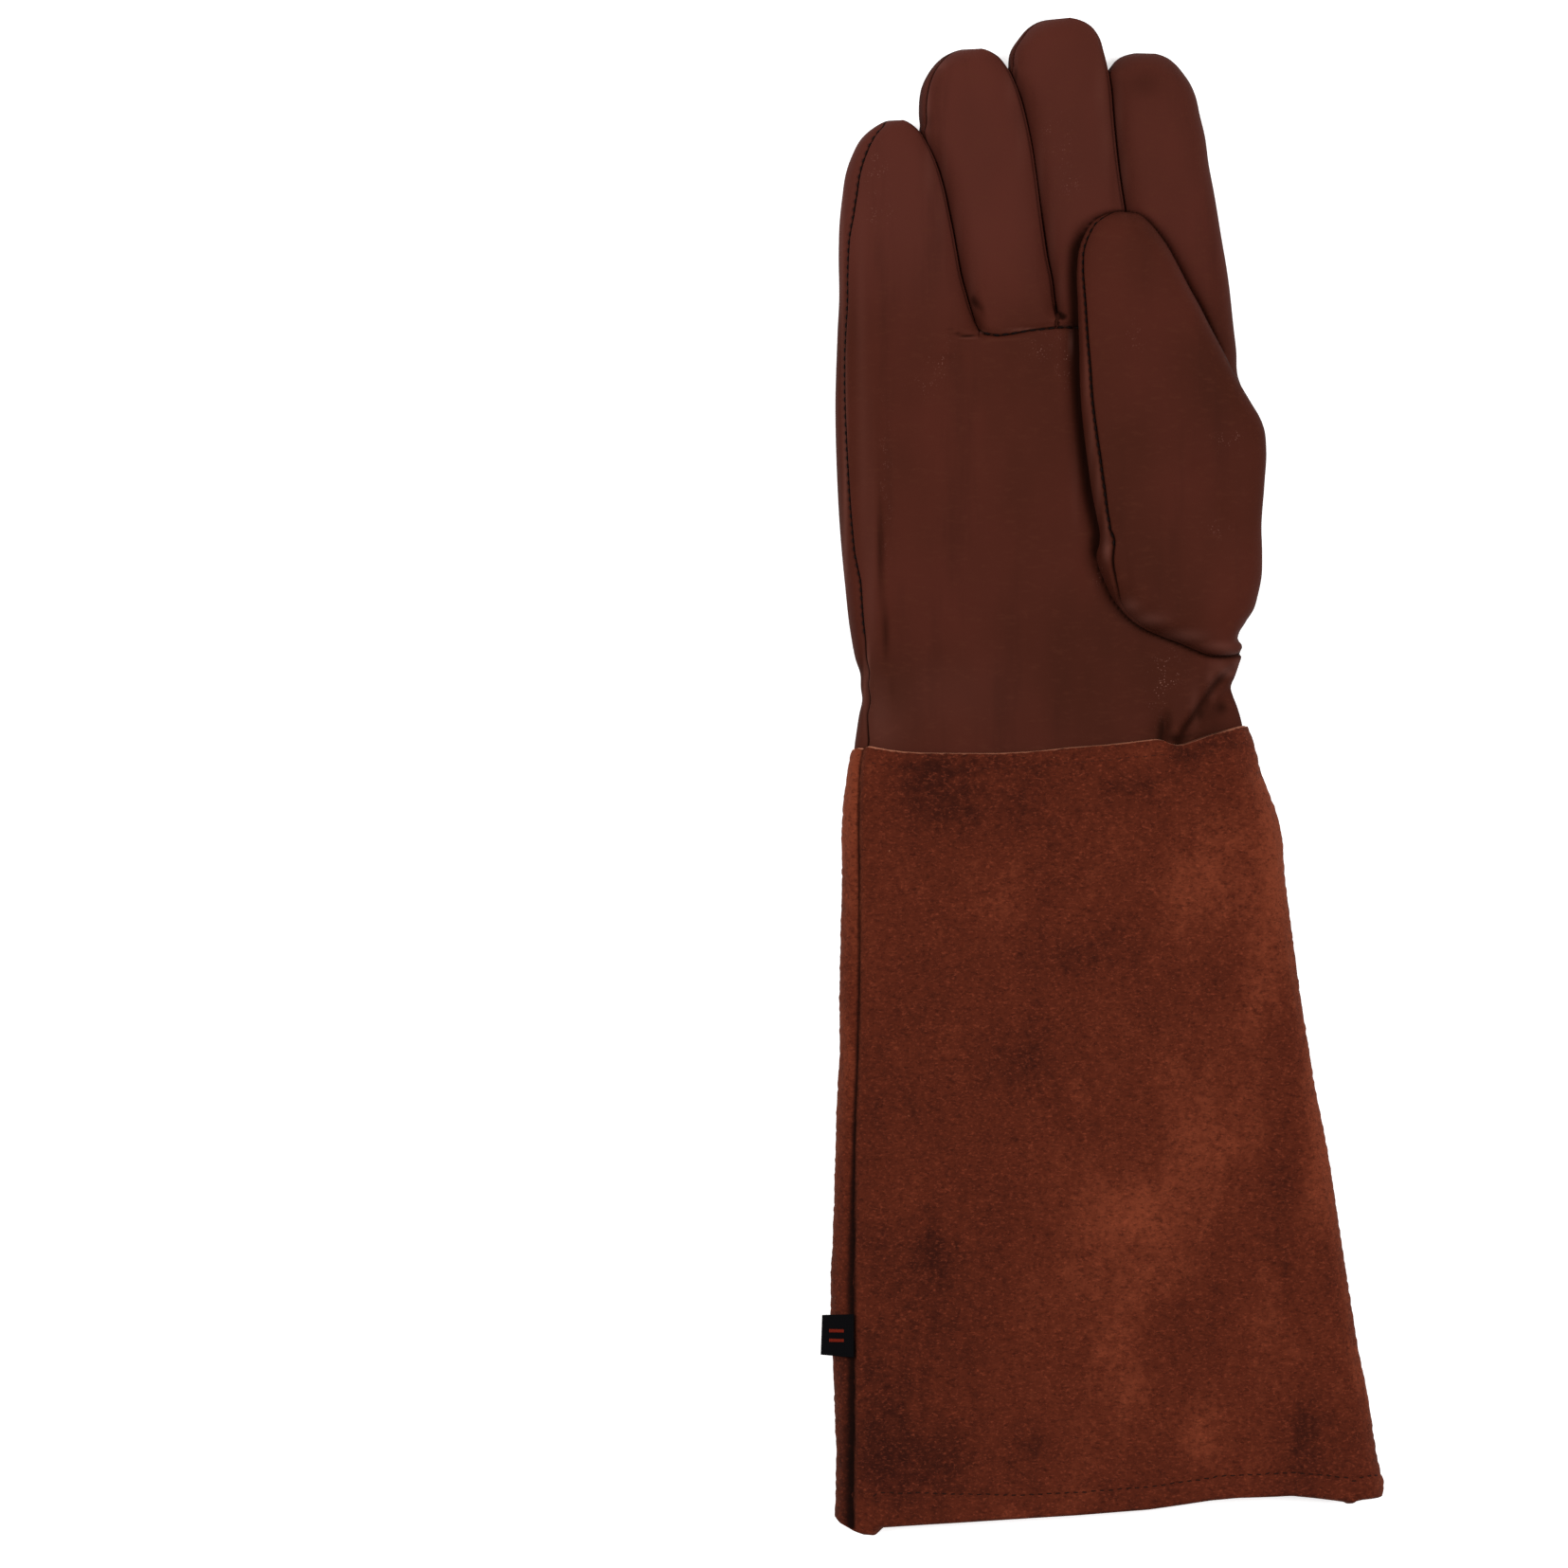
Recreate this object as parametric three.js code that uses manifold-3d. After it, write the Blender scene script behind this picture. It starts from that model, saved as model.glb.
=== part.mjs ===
// A right-hand gauntlet glove for pruning roses, lying palm up: a hand sewn from smooth leather panels and a long
// split-suede cuff. Millimetres, +X towards the thumb side, +Y towards the fingertips, +Z up out of the palm.
// The origin is the centre of the outline, on the surface that the back of the glove lies on.
import * as THREE from "three";
import Module from "manifold-3d";
import { mergeVertices } from "three/addons/utils/BufferGeometryUtils.js";

const wasm = await Module();
wasm.setup();

// Sheet thicknesses and the gap left between sewn pieces
const LEATHER = 1.2;
const SUEDE = 1.4;
const SEAM_GAP = 0.3;

// Where the fingers part, and the cut just below it that parts finger fronts from palm
const WEB_Y = 121.8;
const ROOT_SEAM_Y = WEB_Y - LEATHER - SEAM_GAP;

// Seam levels, as shares of the local height from the back (0) to the palm side (1)
const SEAM_LITTLE_SIDE = 0.82; // also the thumb's left edge
const SEAM_THUMB_SIDE = 0.35;
const SEAM_FORK_FRONT = 0.74;
const SEAM_FORK_BACK = 0.26;
const SEAM_WEB_FRONT = 0.7;

// Roundness of a section: quarter arcs of ARC steps on the left and right edge, wider on the palm side
const ARC = 3;
const SIDE_LEVEL = 0.45;
const LOW_ROUND_SHARE = 0.62;
const PALM_ROUND = { left: 9, right: 9 };
const CUFF_ROUND = { left: 8, right: 8 };
const THUMB_ROUND = { left: 13, right: 13 };

// A finger is flat where it leaves the palm and fully round this far up
const FINGER_FORK_ROUND = 5;
const FINGER_ROUND_LENGTH = 32;
const fingerRound = {
  little: { left: PALM_ROUND.left, right: FINGER_FORK_ROUND },
  ring: { left: FINGER_FORK_ROUND, right: FINGER_FORK_ROUND },
  middle: { left: FINGER_FORK_ROUND, right: FINGER_FORK_ROUND },
  index: { left: FINGER_FORK_ROUND, right: PALM_ROUND.right },
};

// The hand from the wrist end, which sits inside the cuff, up to the finger roots
const palmRows = [
  { y: -6, left: -67.2, right: 37.2, low: 1.7, high: 13.3 },
  { y: 14, left: -66.6, right: 37.2, low: 1.7, high: 13.3 },
  { y: 22, left: -65.7, right: 34.8, low: 1.2, high: 13.6 },
  { y: 29, left: -66.1, right: 36.2, low: 0.6, high: 14.0 },
  { y: 34, left: -67.2, right: 37.4, low: 0.2, high: 14.5 },
  { y: 42, left: -68.6, right: 38.8, low: 0, high: 15 },
  { y: 50, left: -69.6, right: 41.8, low: 0, high: 15 },
  { y: 60, left: -70.6, right: 42.8, low: 0, high: 15 },
  { y: 78, left: -71.8, right: 43.4, low: 0, high: 15 },
  { y: 90, left: -72.5, right: 43.6, low: 0, high: 15 },
  { y: 98, left: -72.8, right: 41.2, low: 0, high: 15 },
  { y: 106, left: -72.8, right: 37.6, low: 0, high: 15 },
  { y: 114, left: -72.7, right: 36.0, low: 0, high: 14.8 },
  { y: WEB_Y, left: -72.5, right: 35.1, low: 0, high: 14.4 },
];

// Each finger from inside the hand, past the web, to the tip
const fingerRows = {
  little: [
    { y: 110, left: -72.0, right: -34.4, low: 0.4, high: 13.8 },
    { y: WEB_Y, left: -72.5, right: -33.9, low: 0, high: 14.2 },
    { y: 128.5, left: -72.2, right: -36.2, low: 0, high: 13.8 },
    { y: 141.6, left: -71.8, right: -39.3, low: 0, high: 13.4 },
    { y: 156, left: -71.1, right: -42.2, low: 0, high: 13.0 },
    { y: 165.8, left: -69.1, right: -45.1, low: 0.2, high: 12.4 },
    { y: 170.4, left: -67.3, right: -47.0, low: 0.6, high: 11.6 },
    { y: 173.6, left: -64.8, right: -49.1, low: 1.4, high: 10.4 },
    { y: 175.8, left: -61.9, right: -51.9, low: 2.6, high: 8.8 },
    { y: 177.3, left: -58.6, right: -54.4, low: 4.2, high: 7.2 },
  ],
  ring: [
    { y: 110, left: -33.0, right: -12.6, low: 0.4, high: 13.8 },
    { y: WEB_Y, left: -33.4, right: -12.0, low: 0, high: 14.4 },
    { y: 129.5, left: -35.7, right: -13.6, low: 0, high: 14.2 },
    { y: 139.5, left: -38.2, right: -15.1, low: 0, high: 14.0 },
    { y: 149.8, left: -40.4, right: -16.6, low: 0, high: 14.0 },
    { y: 162.9, left: -43.7, right: -18.6, low: 0, high: 13.8 },
    { y: 171, left: -46.3, right: -19.6, low: 0, high: 13.6 },
    { y: 176, left: -49.2, right: -20.4, low: 0, high: 13.4 },
    { y: 181.2, left: -49.8, right: -21.9, low: 0, high: 13.0 },
    { y: 186.3, left: -48.4, right: -23.7, low: 0.2, high: 12.4 },
    { y: 191.5, left: -45.9, right: -26.7, low: 0.8, high: 11.0 },
    { y: 195, left: -42.7, right: -29.9, low: 2.0, high: 9.2 },
    { y: 197, left: -38.5, right: -33.2, low: 4.0, high: 7.4 },
  ],
  middle: [
    { y: 110, left: -11.0, right: 8.2, low: 0.4, high: 13.8 },
    { y: WEB_Y, left: -11.5, right: 8.9, low: 0, high: 14.4 },
    { y: 129.5, left: -13.1, right: 7.9, low: 0, high: 14.2 },
    { y: 139.5, left: -14.6, right: 6.7, low: 0, high: 14.2 },
    { y: 149.8, left: -16.1, right: 5.6, low: 0, high: 14.2 },
    { y: 162.9, left: -18.1, right: 4.2, low: 0, high: 14.2 },
    { y: 175.3, left: -19.7, right: 2.7, low: 0, high: 14.0 },
    { y: 184, left: -22.1, right: 1.3, low: 0, high: 13.8 },
    { y: 190, left: -25.1, right: 0.9, low: 0, high: 13.4 },
    { y: 193, left: -26.1, right: 0.5, low: 0, high: 13.0 },
    { y: 197.5, left: -25.0, right: -0.2, low: 0.4, high: 12.2 },
    { y: 201, left: -22.2, right: -2.2, low: 1.0, high: 10.9 },
    { y: 203.8, left: -18.7, right: -5.2, low: 2.2, high: 9.0 },
    { y: 205.2, left: -15.0, right: -9.0, low: 4.2, high: 7.2 },
  ],
  index: [
    { y: 110, left: 10.0, right: 34.6, low: 0.4, high: 13.8 },
    { y: WEB_Y, left: 9.4, right: 35.1, low: 0, high: 14.2 },
    { y: 133.5, left: 8.0, right: 33.4, low: 0, high: 13.8 },
    { y: 145.7, left: 6.6, right: 31.4, low: 0, high: 13.6 },
    { y: 159.9, left: 5.1, right: 29.3, low: 0, high: 13.4 },
    { y: 173.1, left: 3.5, right: 26.9, low: 0, high: 13.0 },
    { y: 181.3, left: 2.3, right: 25.3, low: 0, high: 12.8 },
    { y: 186.3, left: 1.8, right: 23.9, low: 0.2, high: 12.2 },
    { y: 190.4, left: 1.7, right: 21.5, low: 0.8, high: 11.2 },
    { y: 193.4, left: 3.2, right: 18.9, low: 2.0, high: 9.6 },
    { y: 195.3, left: 6.4, right: 15.6, low: 3.8, high: 7.8 },
  ],
};

// The thumb, folded over so that it lies on the palm; its underside clears the palm by the seam gap
const THUMB_LOW = 15 + SEAM_GAP;
const thumbRows = [
  { y: 34, left: 24.0, right: 36.0, low: THUMB_LOW, high: 19.5 },
  { y: 37, left: 18.6, right: 36.8, low: THUMB_LOW, high: 21.5 },
  { y: 40.5, left: 11.0, right: 37.8, low: THUMB_LOW, high: 23.2 },
  { y: 44.5, left: 5.8, right: 39.6, low: THUMB_LOW, high: 24.8 },
  { y: 50, left: 1.9, right: 42.0, low: THUMB_LOW, high: 26.4 },
  { y: 56, left: -0.6, right: 42.8, low: THUMB_LOW, high: 27.2 },
  { y: 72, left: -2.8, right: 43.2, low: THUMB_LOW, high: 27.6 },
  { y: 84, left: -5.2, right: 43.9, low: THUMB_LOW, high: 27.6 },
  { y: 93, left: -6.3, right: 43.5, low: THUMB_LOW, high: 27.6 },
  { y: 99, left: -6.8, right: 41.0, low: THUMB_LOW, high: 27.5 },
  { y: 106, left: -7.0, right: 37.5, low: THUMB_LOW, high: 27.4 },
  { y: 117, left: -7.2, right: 32.3, low: THUMB_LOW, high: 27.0 },
  { y: 125, left: -7.3, right: 28.0, low: THUMB_LOW, high: 26.8 },
  { y: 133, left: -7.2, right: 24.0, low: THUMB_LOW, high: 26.6 },
  { y: 138, left: -7.0, right: 21.4, low: THUMB_LOW, high: 26.3 },
  { y: 144, left: -5.9, right: 17.7, low: THUMB_LOW + 0.2, high: 25.6 },
  { y: 148, left: -4.1, right: 14.6, low: THUMB_LOW + 0.7, high: 24.4 },
  { y: 150.8, left: -1.4, right: 11.6, low: THUMB_LOW + 1.7, high: 22.9 },
  { y: 152.6, left: 2.4, right: 7.6, low: THUMB_LOW + 3.2, high: 21.0 },
];

// The hole through palm and thumb underside that the wearer's thumb goes through
const thumbHole = { left: 12, right: 33, bottom: 48, top: 90, corner: 8 };

// The cuff, whose ends both slant, so each row has a height along the glove at its left and right edge
const cuffRows = [
  { leftY: 7.0, rightY: 13.3, left: -68.9, right: 38.9, low: 0, high: 15 },
  { leftY: 0, rightY: 3, left: -69.6, right: 42.0, low: 0, high: 15.2 },
  { leftY: -8, rightY: -6.5, left: -70.4, right: 46.3, low: 0, high: 15.4 },
  { leftY: -20, rightY: -17, left: -71.1, right: 48.3, low: 0, high: 15.2 },
  { leftY: -45, rightY: -42, left: -71.5, right: 51.2, low: 0, high: 14.6 },
  { leftY: -87, rightY: -84, left: -72.3, right: 57.2, low: 0, high: 13.8 },
  { leftY: -130, rightY: -126, left: -73.6, right: 64.6, low: 0, high: 13.0 },
  { leftY: -150, rightY: -147, left: -74.0, right: 68.0, low: 0, high: 12.6 },
  { leftY: -168, rightY: -165, left: -72.8, right: 71.0, low: 0, high: 12.3 },
  { leftY: -196.5, rightY: -188.2, left: -73.2, right: 75.1, low: 0, high: 12.2 },
  { leftY: -205.2, rightY: -195.4, left: -72.6, right: 76.2, low: 0, high: 12.2 },
];
const HEM_LAYERS = 2;
const END_CLEAR = 5;

// The cuff's one lengthwise seam, sunk into the palm side near the little-finger edge
const cuffSeam = { topX: -65.2, bottomX: -67.7, width: 0.8, depth: 0.5 };

// The folded size tab, caught in the cuff seam and reaching out over the edge
const tab = { root: -68.3, tip: -76.2, bottom: -157.6, top: -145.6, thick: 0.8, lean: 0.7 };
const TAB_ROOT_Z = 12.7;
const TAB_TIP_Z = 9.5;

const LEATHER_COLOUR = 0x4a221b;
const LEATHER_EDGE_COLOUR = 0x52261d;
const SUEDE_COLOUR = 0x5a2617;
const TAB_COLOUR = 0x08090b;

const lerp = THREE.MathUtils.lerp;
const leftYOf = (row) => row.leftY ?? row.y;
const rightYOf = (row) => row.rightY ?? row.y;
const levelOf = (row, share) => lerp(row.low, row.high, share);

// One section of a flattened tube: four quarter ellipses joined by a flat top and a flat underside
function sectionRing(row, inset, round, flatSteps) {
  const left = row.left + inset;
  const right = row.right - inset;
  const low = row.low + inset;
  const high = row.high - inset;
  const side = lerp(low, high, SIDE_LEVEL);
  const half = (right - left) / 2;
  const grow = row.grow ?? 0;
  const widthOf = (edge) => Math.min(lerp(edge, Math.max(edge, half + inset), grow) - inset, half);
  const topLeft = widthOf(round.left);
  const topRight = widthOf(round.right);
  const lowLeft = topLeft * LOW_ROUND_SHARE;
  const lowRight = topRight * LOW_ROUND_SHARE;
  const points = [];
  const add = (x, z) => {
    const across = (x - row.left) / (row.right - row.left);
    points.push(new THREE.Vector3(x, lerp(leftYOf(row), rightYOf(row), across), z));
  };
  const arc = (centreX, radiusX, radiusZ, from) => {
    for (let i = 0; i < ARC; i++) {
      const angle = from - ((Math.PI / 2) * i) / ARC;
      add(centreX + radiusX * Math.cos(angle), side + radiusZ * Math.sin(angle));
    }
  };
  const flat = (fromX, toX, z) => {
    for (let i = 0; i < flatSteps; i++) add(lerp(fromX, toX, i / flatSteps), z);
  };
  const up = high - side;
  const down = side - low;
  arc(left + topLeft, topLeft, up, Math.PI);
  flat(left + topLeft, right - topRight, high);
  arc(right - topRight, topRight, up, Math.PI / 2);
  arc(right - lowRight, lowRight, down, 0);
  flat(right - lowRight, left + lowLeft, low);
  arc(left + lowLeft, lowLeft, down, -Math.PI / 2);
  return points;
}

// A closed solid through a list of rings, each a closed line of points that runs clockwise
// when looking along +Y
function loft(rings) {
  const count = rings[0].length;
  const positions = [];
  const faces = [];
  rings.forEach((ring) => ring.forEach((p) => positions.push(p.x, p.y, p.z)));
  for (let r = 0; r + 1 < rings.length; r++) {
    for (let i = 0; i < count; i++) {
      const a = r * count + i;
      const b = r * count + ((i + 1) % count);
      faces.push(a, b, a + count, b, b + count, a + count);
    }
  }
  const last = (rings.length - 1) * count;
  for (let i = 1; i + 1 < count; i++) {
    faces.push(0, i + 1, i);
    faces.push(last, last + i, last + i + 1);
  }
  return solidFrom(positions, faces);
}

function solidFrom(positions, faces) {
  const geometry = new THREE.BufferGeometry();
  geometry.setAttribute("position", new THREE.Float32BufferAttribute(positions, 3));
  geometry.setIndex(faces);
  const merged = mergeVertices(geometry, 1e-4);
  const made = new wasm.Manifold(
    new wasm.Mesh({
      numProp: 3,
      vertProperties: new Float32Array(merged.attributes.position.array),
      triVerts: new Uint32Array(merged.index.array),
    }),
  );
  return made;
}

const unite = (solids) => solids.reduce((all, next) => all.add(next));

// The row of a table at a height between two of its own
function rowAt(rows, y) {
  const next = rows.findIndex((row) => row.y > y);
  const a = rows[next - 1];
  const b = rows[next];
  const share = (y - a.y) / (b.y - a.y);
  return Object.fromEntries(Object.keys(a).map((key) => [key, lerp(a[key], b[key], share)]));
}

// A cutting block along a table of rows, between two lines across and two levels, each a function
function block(rows, { from, to, low, high }) {
  const corner = (row, x, level) => new THREE.Vector3(x, row.y, level(row, x));
  return loft(
    rows.map((row) => {
      const a = from(row);
      const b = to(row);
      return [corner(row, a, low), corner(row, a, high), corner(row, b, high), corner(row, b, low)];
    }),
  );
}

// The hollow hand: palm and four fingers as one outer form, less the same forms one leather thickness in
const TIP_MIN_WIDTH = 12;
function outerTube(rows, round, flatSteps) {
  return loft(rows.map((row) => sectionRing(row, 0, round, flatSteps)));
}
function innerTube(rows, round, flatSteps) {
  const wide = rows.filter((row) => row.right - row.left > TIP_MIN_WIDTH);
  const pulled = wide.map((row, i) => (i === wide.length - 1 ? { ...row, y: row.y - LEATHER / 2 } : row));
  return loft(pulled.map((row) => sectionRing(row, LEATHER, round, flatSteps)));
}
const growing = (row) => {
  const share = THREE.MathUtils.smoothstep(row.y, WEB_Y, WEB_Y + FINGER_ROUND_LENGTH);
  return { ...row, grow: share };
};
const FINGER_FLATS = 1;
const PALM_FLATS = 5;
const fingerTubes = (tube) =>
  Object.entries(fingerRows).map(([name, rows]) => tube(rows.map(growing), fingerRound[name], FINGER_FLATS));
const palmHollowRows = [
  { ...palmRows[0], y: palmRows[0].y - END_CLEAR },
  ...palmRows.slice(0, -1),
  { ...palmRows.at(-1), y: WEB_Y - LEATHER },
];
const handForm = unite([
  outerTube(palmRows, PALM_ROUND, PALM_FLATS),
  ...fingerTubes(outerTube),
]);
const handHollow = unite([
  innerTube(palmHollowRows, PALM_ROUND, PALM_FLATS),
  ...fingerTubes(innerTube),
]);
const handShell = handForm.subtract(handHollow);

// A straight-sided plug with rounded corners, for the thumb hole
function holePlug({ left, right, bottom, top, corner }) {
  const shape = new THREE.Shape();
  shape.moveTo(left + corner, bottom);
  shape.lineTo(right - corner, bottom);
  shape.absarc(right - corner, bottom + corner, corner, -Math.PI / 2, 0);
  shape.lineTo(right, top - corner);
  shape.absarc(right - corner, top - corner, corner, 0, Math.PI / 2);
  shape.lineTo(left + corner, top);
  shape.absarc(left + corner, top - corner, corner, Math.PI / 2, Math.PI);
  shape.lineTo(left, bottom + corner);
  shape.absarc(left + corner, bottom + corner, corner, Math.PI, 1.5 * Math.PI);
  const PLUG_LOW = 8;
  const PLUG_HIGH = 21;
  const geometry = new THREE.ExtrudeGeometry(shape, {
    depth: PLUG_HIGH - PLUG_LOW,
    bevelEnabled: false,
    curveSegments: 4,
  });
  geometry.translate(0, 0, PLUG_LOW);
  geometry.deleteAttribute("normal");
  geometry.deleteAttribute("uv");
  const merged = mergeVertices(geometry, 1e-4);
  return solidFrom(Array.from(merged.attributes.position.array), Array.from(merged.index.array));
}
const plug = holePlug(thumbHole);

// Rows of the palm and of each finger between the root seam and just past the tip, for the cutting blocks
const palmCut = [
  { ...palmRows[0], y: palmRows[0].y - END_CLEAR },
  ...palmRows.slice(0, -1),
  rowAt(palmRows, ROOT_SEAM_Y),
];
const cutRows = Object.fromEntries(
  Object.entries(fingerRows).map(([name, rows]) => [
    name,
    [rowAt(rows, ROOT_SEAM_Y), ...rows.slice(1), { ...rows.at(-1), y: rows.at(-1).y + END_CLEAR }],
  ]),
);

// The seam level across a section runs straight from its left level to its right level
const seamLine = (leftShare, rightShare, drop) => (row, x) => {
  const share = lerp(leftShare, rightShare, (x - row.left) / (row.right - row.left));
  return levelOf(row, share) - drop;
};
const SKY = 40;
const GROUND = -5;
const above = () => SKY;
const below = () => GROUND;
const OUTSIDE = 6;
const BETWEEN = 0.1;
const farLeft = (row) => row.left - OUTSIDE;
const farRight = (row) => row.right + OUTSIDE;
const nearLeft = (row) => row.left - BETWEEN;
const nearRight = (row) => row.right + BETWEEN;
const centreLine = (side) => (row) => (row.left + row.right) / 2 + (side * SEAM_GAP) / 2;

const seams = {
  palm: [SEAM_LITTLE_SIDE, SEAM_THUMB_SIDE],
  little: [SEAM_LITTLE_SIDE, SEAM_FORK_FRONT],
  ring: [SEAM_FORK_FRONT, SEAM_FORK_FRONT],
  middle: [SEAM_FORK_FRONT, SEAM_FORK_FRONT],
  index: [SEAM_FORK_FRONT, SEAM_THUMB_SIDE],
};

const frontBlock = (name, rows, from, to) =>
  block(rows, { from, to, low: seamLine(...seams[name], 0), high: above });
const sideBlock = (name, rows, from, to) =>
  block(rows, { from, to, low: below, high: seamLine(...seams[name], SEAM_GAP) });
const backBlock = (rows, from, to) =>
  block(rows, { from, to, low: below, high: seamLine(SEAM_FORK_BACK, SEAM_FORK_BACK, SEAM_GAP) });
const forkBlock = (name, from, to) =>
  block(cutRows[name], {
    from,
    to,
    low: seamLine(SEAM_FORK_BACK, SEAM_FORK_BACK, 0),
    high: seamLine(...seams[name], SEAM_GAP),
  });

// The palm panel runs up into the fronts of the little and index fingers
const rootGap = (rows) => rows.map((row, i) => (i === 0 ? { ...row, y: row.y + SEAM_GAP } : row));
const palmPanel = handShell
  .intersect(
    unite([
      frontBlock("palm", palmCut, farLeft, farRight),
      frontBlock("little", cutRows.little, farLeft, nearRight),
      frontBlock("index", cutRows.index, nearLeft, farRight),
    ]),
  )
  .subtract(plug);
const ringFront = handShell.intersect(frontBlock("ring", rootGap(cutRows.ring), nearLeft, nearRight));
const middleFront = handShell.intersect(frontBlock("middle", rootGap(cutRows.middle), nearLeft, nearRight));

// The back panel wraps round both edges of the hand and carries all four finger backs
const backPanel = handShell.intersect(
  unite([
    sideBlock("palm", palmCut, farLeft, farRight),
    sideBlock("little", cutRows.little, farLeft, centreLine(-1)),
    backBlock(cutRows.little, centreLine(-2), nearRight),
    backBlock(cutRows.ring, nearLeft, nearRight),
    backBlock(cutRows.middle, nearLeft, nearRight),
    backBlock(cutRows.index, nearLeft, centreLine(2)),
    sideBlock("index", cutRows.index, centreLine(1), farRight),
    block([rowAt(palmRows, ROOT_SEAM_Y - 1), rowAt(palmRows, WEB_Y - 0.01)], {
      from: (row) => row.left + LEATHER,
      to: (row) => row.right - LEATHER,
      low: below,
      high: seamLine(SEAM_FORK_BACK, SEAM_FORK_BACK, SEAM_GAP),
    }),
  ]),
);

// A fork is the strip that runs up one finger's side, round the web and up its neighbour's side
const fork = (leftFinger, rightFinger) =>
  handShell.intersect(
    unite([
      forkBlock(leftFinger, centreLine(1), nearRight),
      forkBlock(rightFinger, nearLeft, centreLine(-1)),
      block([rowAt(palmRows, ROOT_SEAM_Y), rowAt(palmRows, WEB_Y - 0.01)], {
        from: () => fingerRows[leftFinger][1].right - LEATHER,
        to: () => fingerRows[rightFinger][1].left + LEATHER,
        low: seamLine(SEAM_FORK_BACK, SEAM_FORK_BACK, 0),
        high: seamLine(SEAM_WEB_FRONT, SEAM_WEB_FRONT, SEAM_GAP),
      }),
    ]),
  );

// The thumb: a hollow mitten-like tube in two halves, its underside open over the palm's thumb hole
const THUMB_FLATS = 3;
const thumbShell = outerTube(thumbRows, THUMB_ROUND, THUMB_FLATS)
  .subtract(innerTube(thumbRows, THUMB_ROUND, THUMB_FLATS))
  .subtract(plug);
const thumbCut = [
  { ...thumbRows[0], y: thumbRows[0].y - END_CLEAR },
  ...thumbRows,
  { ...thumbRows.at(-1), y: thumbRows.at(-1).y + END_CLEAR },
];
const thumbSeam = (drop) => seamLine(SEAM_LITTLE_SIDE, SEAM_THUMB_SIDE, drop);
const thumbFront = thumbShell.intersect(
  block(thumbCut, { from: farLeft, to: farRight, low: thumbSeam(0), high: above }),
);
const thumbBack = thumbShell.intersect(
  block(thumbCut, { from: farLeft, to: farRight, low: below, high: thumbSeam(SEAM_GAP) }),
);

// The cuff: a flattened suede tube with a turned-in hem of two layers and one lengthwise seam
const CUFF_FLATS = 4;
const cuffTube = (rows, inset) =>
  loft(rows.map((row) => sectionRing(row, inset, CUFF_ROUND, CUFF_FLATS)).reverse());
const shifted = (row, along) => ({ ...row, leftY: row.leftY + along, rightY: row.rightY + along });
const hemRow = cuffRows.at(-2);
const endRow = cuffRows.at(-1);
const cuffHollow = cuffTube([shifted(cuffRows[0], END_CLEAR), ...cuffRows.slice(0, -1)], SUEDE);
const hemHollow = cuffTube([shifted(hemRow, SEAM_GAP), shifted(endRow, -END_CLEAR)], SUEDE * HEM_LAYERS);
const seamGroove = (() => {
  const top = cuffRows[0];
  const reach = [
    { x: cuffSeam.topX, y: top.rightY, high: top.high },
    { x: lerp(cuffSeam.topX, cuffSeam.bottomX, 0.25), y: -45, high: 14.6 },
    { x: lerp(cuffSeam.topX, cuffSeam.bottomX, 0.85), y: -130, high: 13 },
    { x: cuffSeam.bottomX, y: endRow.leftY - END_CLEAR, high: endRow.high },
  ];
  const half = cuffSeam.width / 2;
  // the groove follows the rounded edge of the section, which is lower here than the flat top
  const EDGE_DROP = 0.5;
  return loft(
    reach.reverse().map(({ x, y, high }) => [
      new THREE.Vector3(x - half, y, high - EDGE_DROP - cuffSeam.depth),
      new THREE.Vector3(x - half, y, SKY),
      new THREE.Vector3(x + half, y, SKY),
      new THREE.Vector3(x + half, y, high - EDGE_DROP - cuffSeam.depth),
    ]),
  );
})();
const cuff = cuffTube(cuffRows, 0).subtract(unite([cuffHollow, hemHollow, seamGroove]));

// The size tab: a flat folded ribbon that slopes down over the cuff's rounded edge
const sizeTab = loft(
  [tab.bottom, tab.top].map((y) => {
    const corner = (x, z) =>
      new THREE.Vector3(x, y + (tab.lean * (x - tab.tip)) / (tab.root - tab.tip), z);
    return [
      corner(tab.tip, TAB_TIP_Z),
      corner(tab.tip, TAB_TIP_Z + tab.thick),
      corner(tab.root, TAB_ROOT_Z + tab.thick),
      corner(tab.root, TAB_ROOT_Z),
    ];
  }),
);

// A named mesh for each finished solid
function mesh(name, solid, color, roughness) {
  const made = solid.getMesh();
  const geometry = new THREE.BufferGeometry();
  geometry.setAttribute("position", new THREE.Float32BufferAttribute(made.vertProperties, 3));
  geometry.setIndex(new THREE.Uint32BufferAttribute(made.triVerts, 1));
  geometry.computeVertexNormals();
  const material = new THREE.MeshStandardMaterial({ color, roughness, metalness: 0 });
  const piece = new THREE.Mesh(geometry, material);
  piece.name = name;
  return piece;
}

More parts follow.
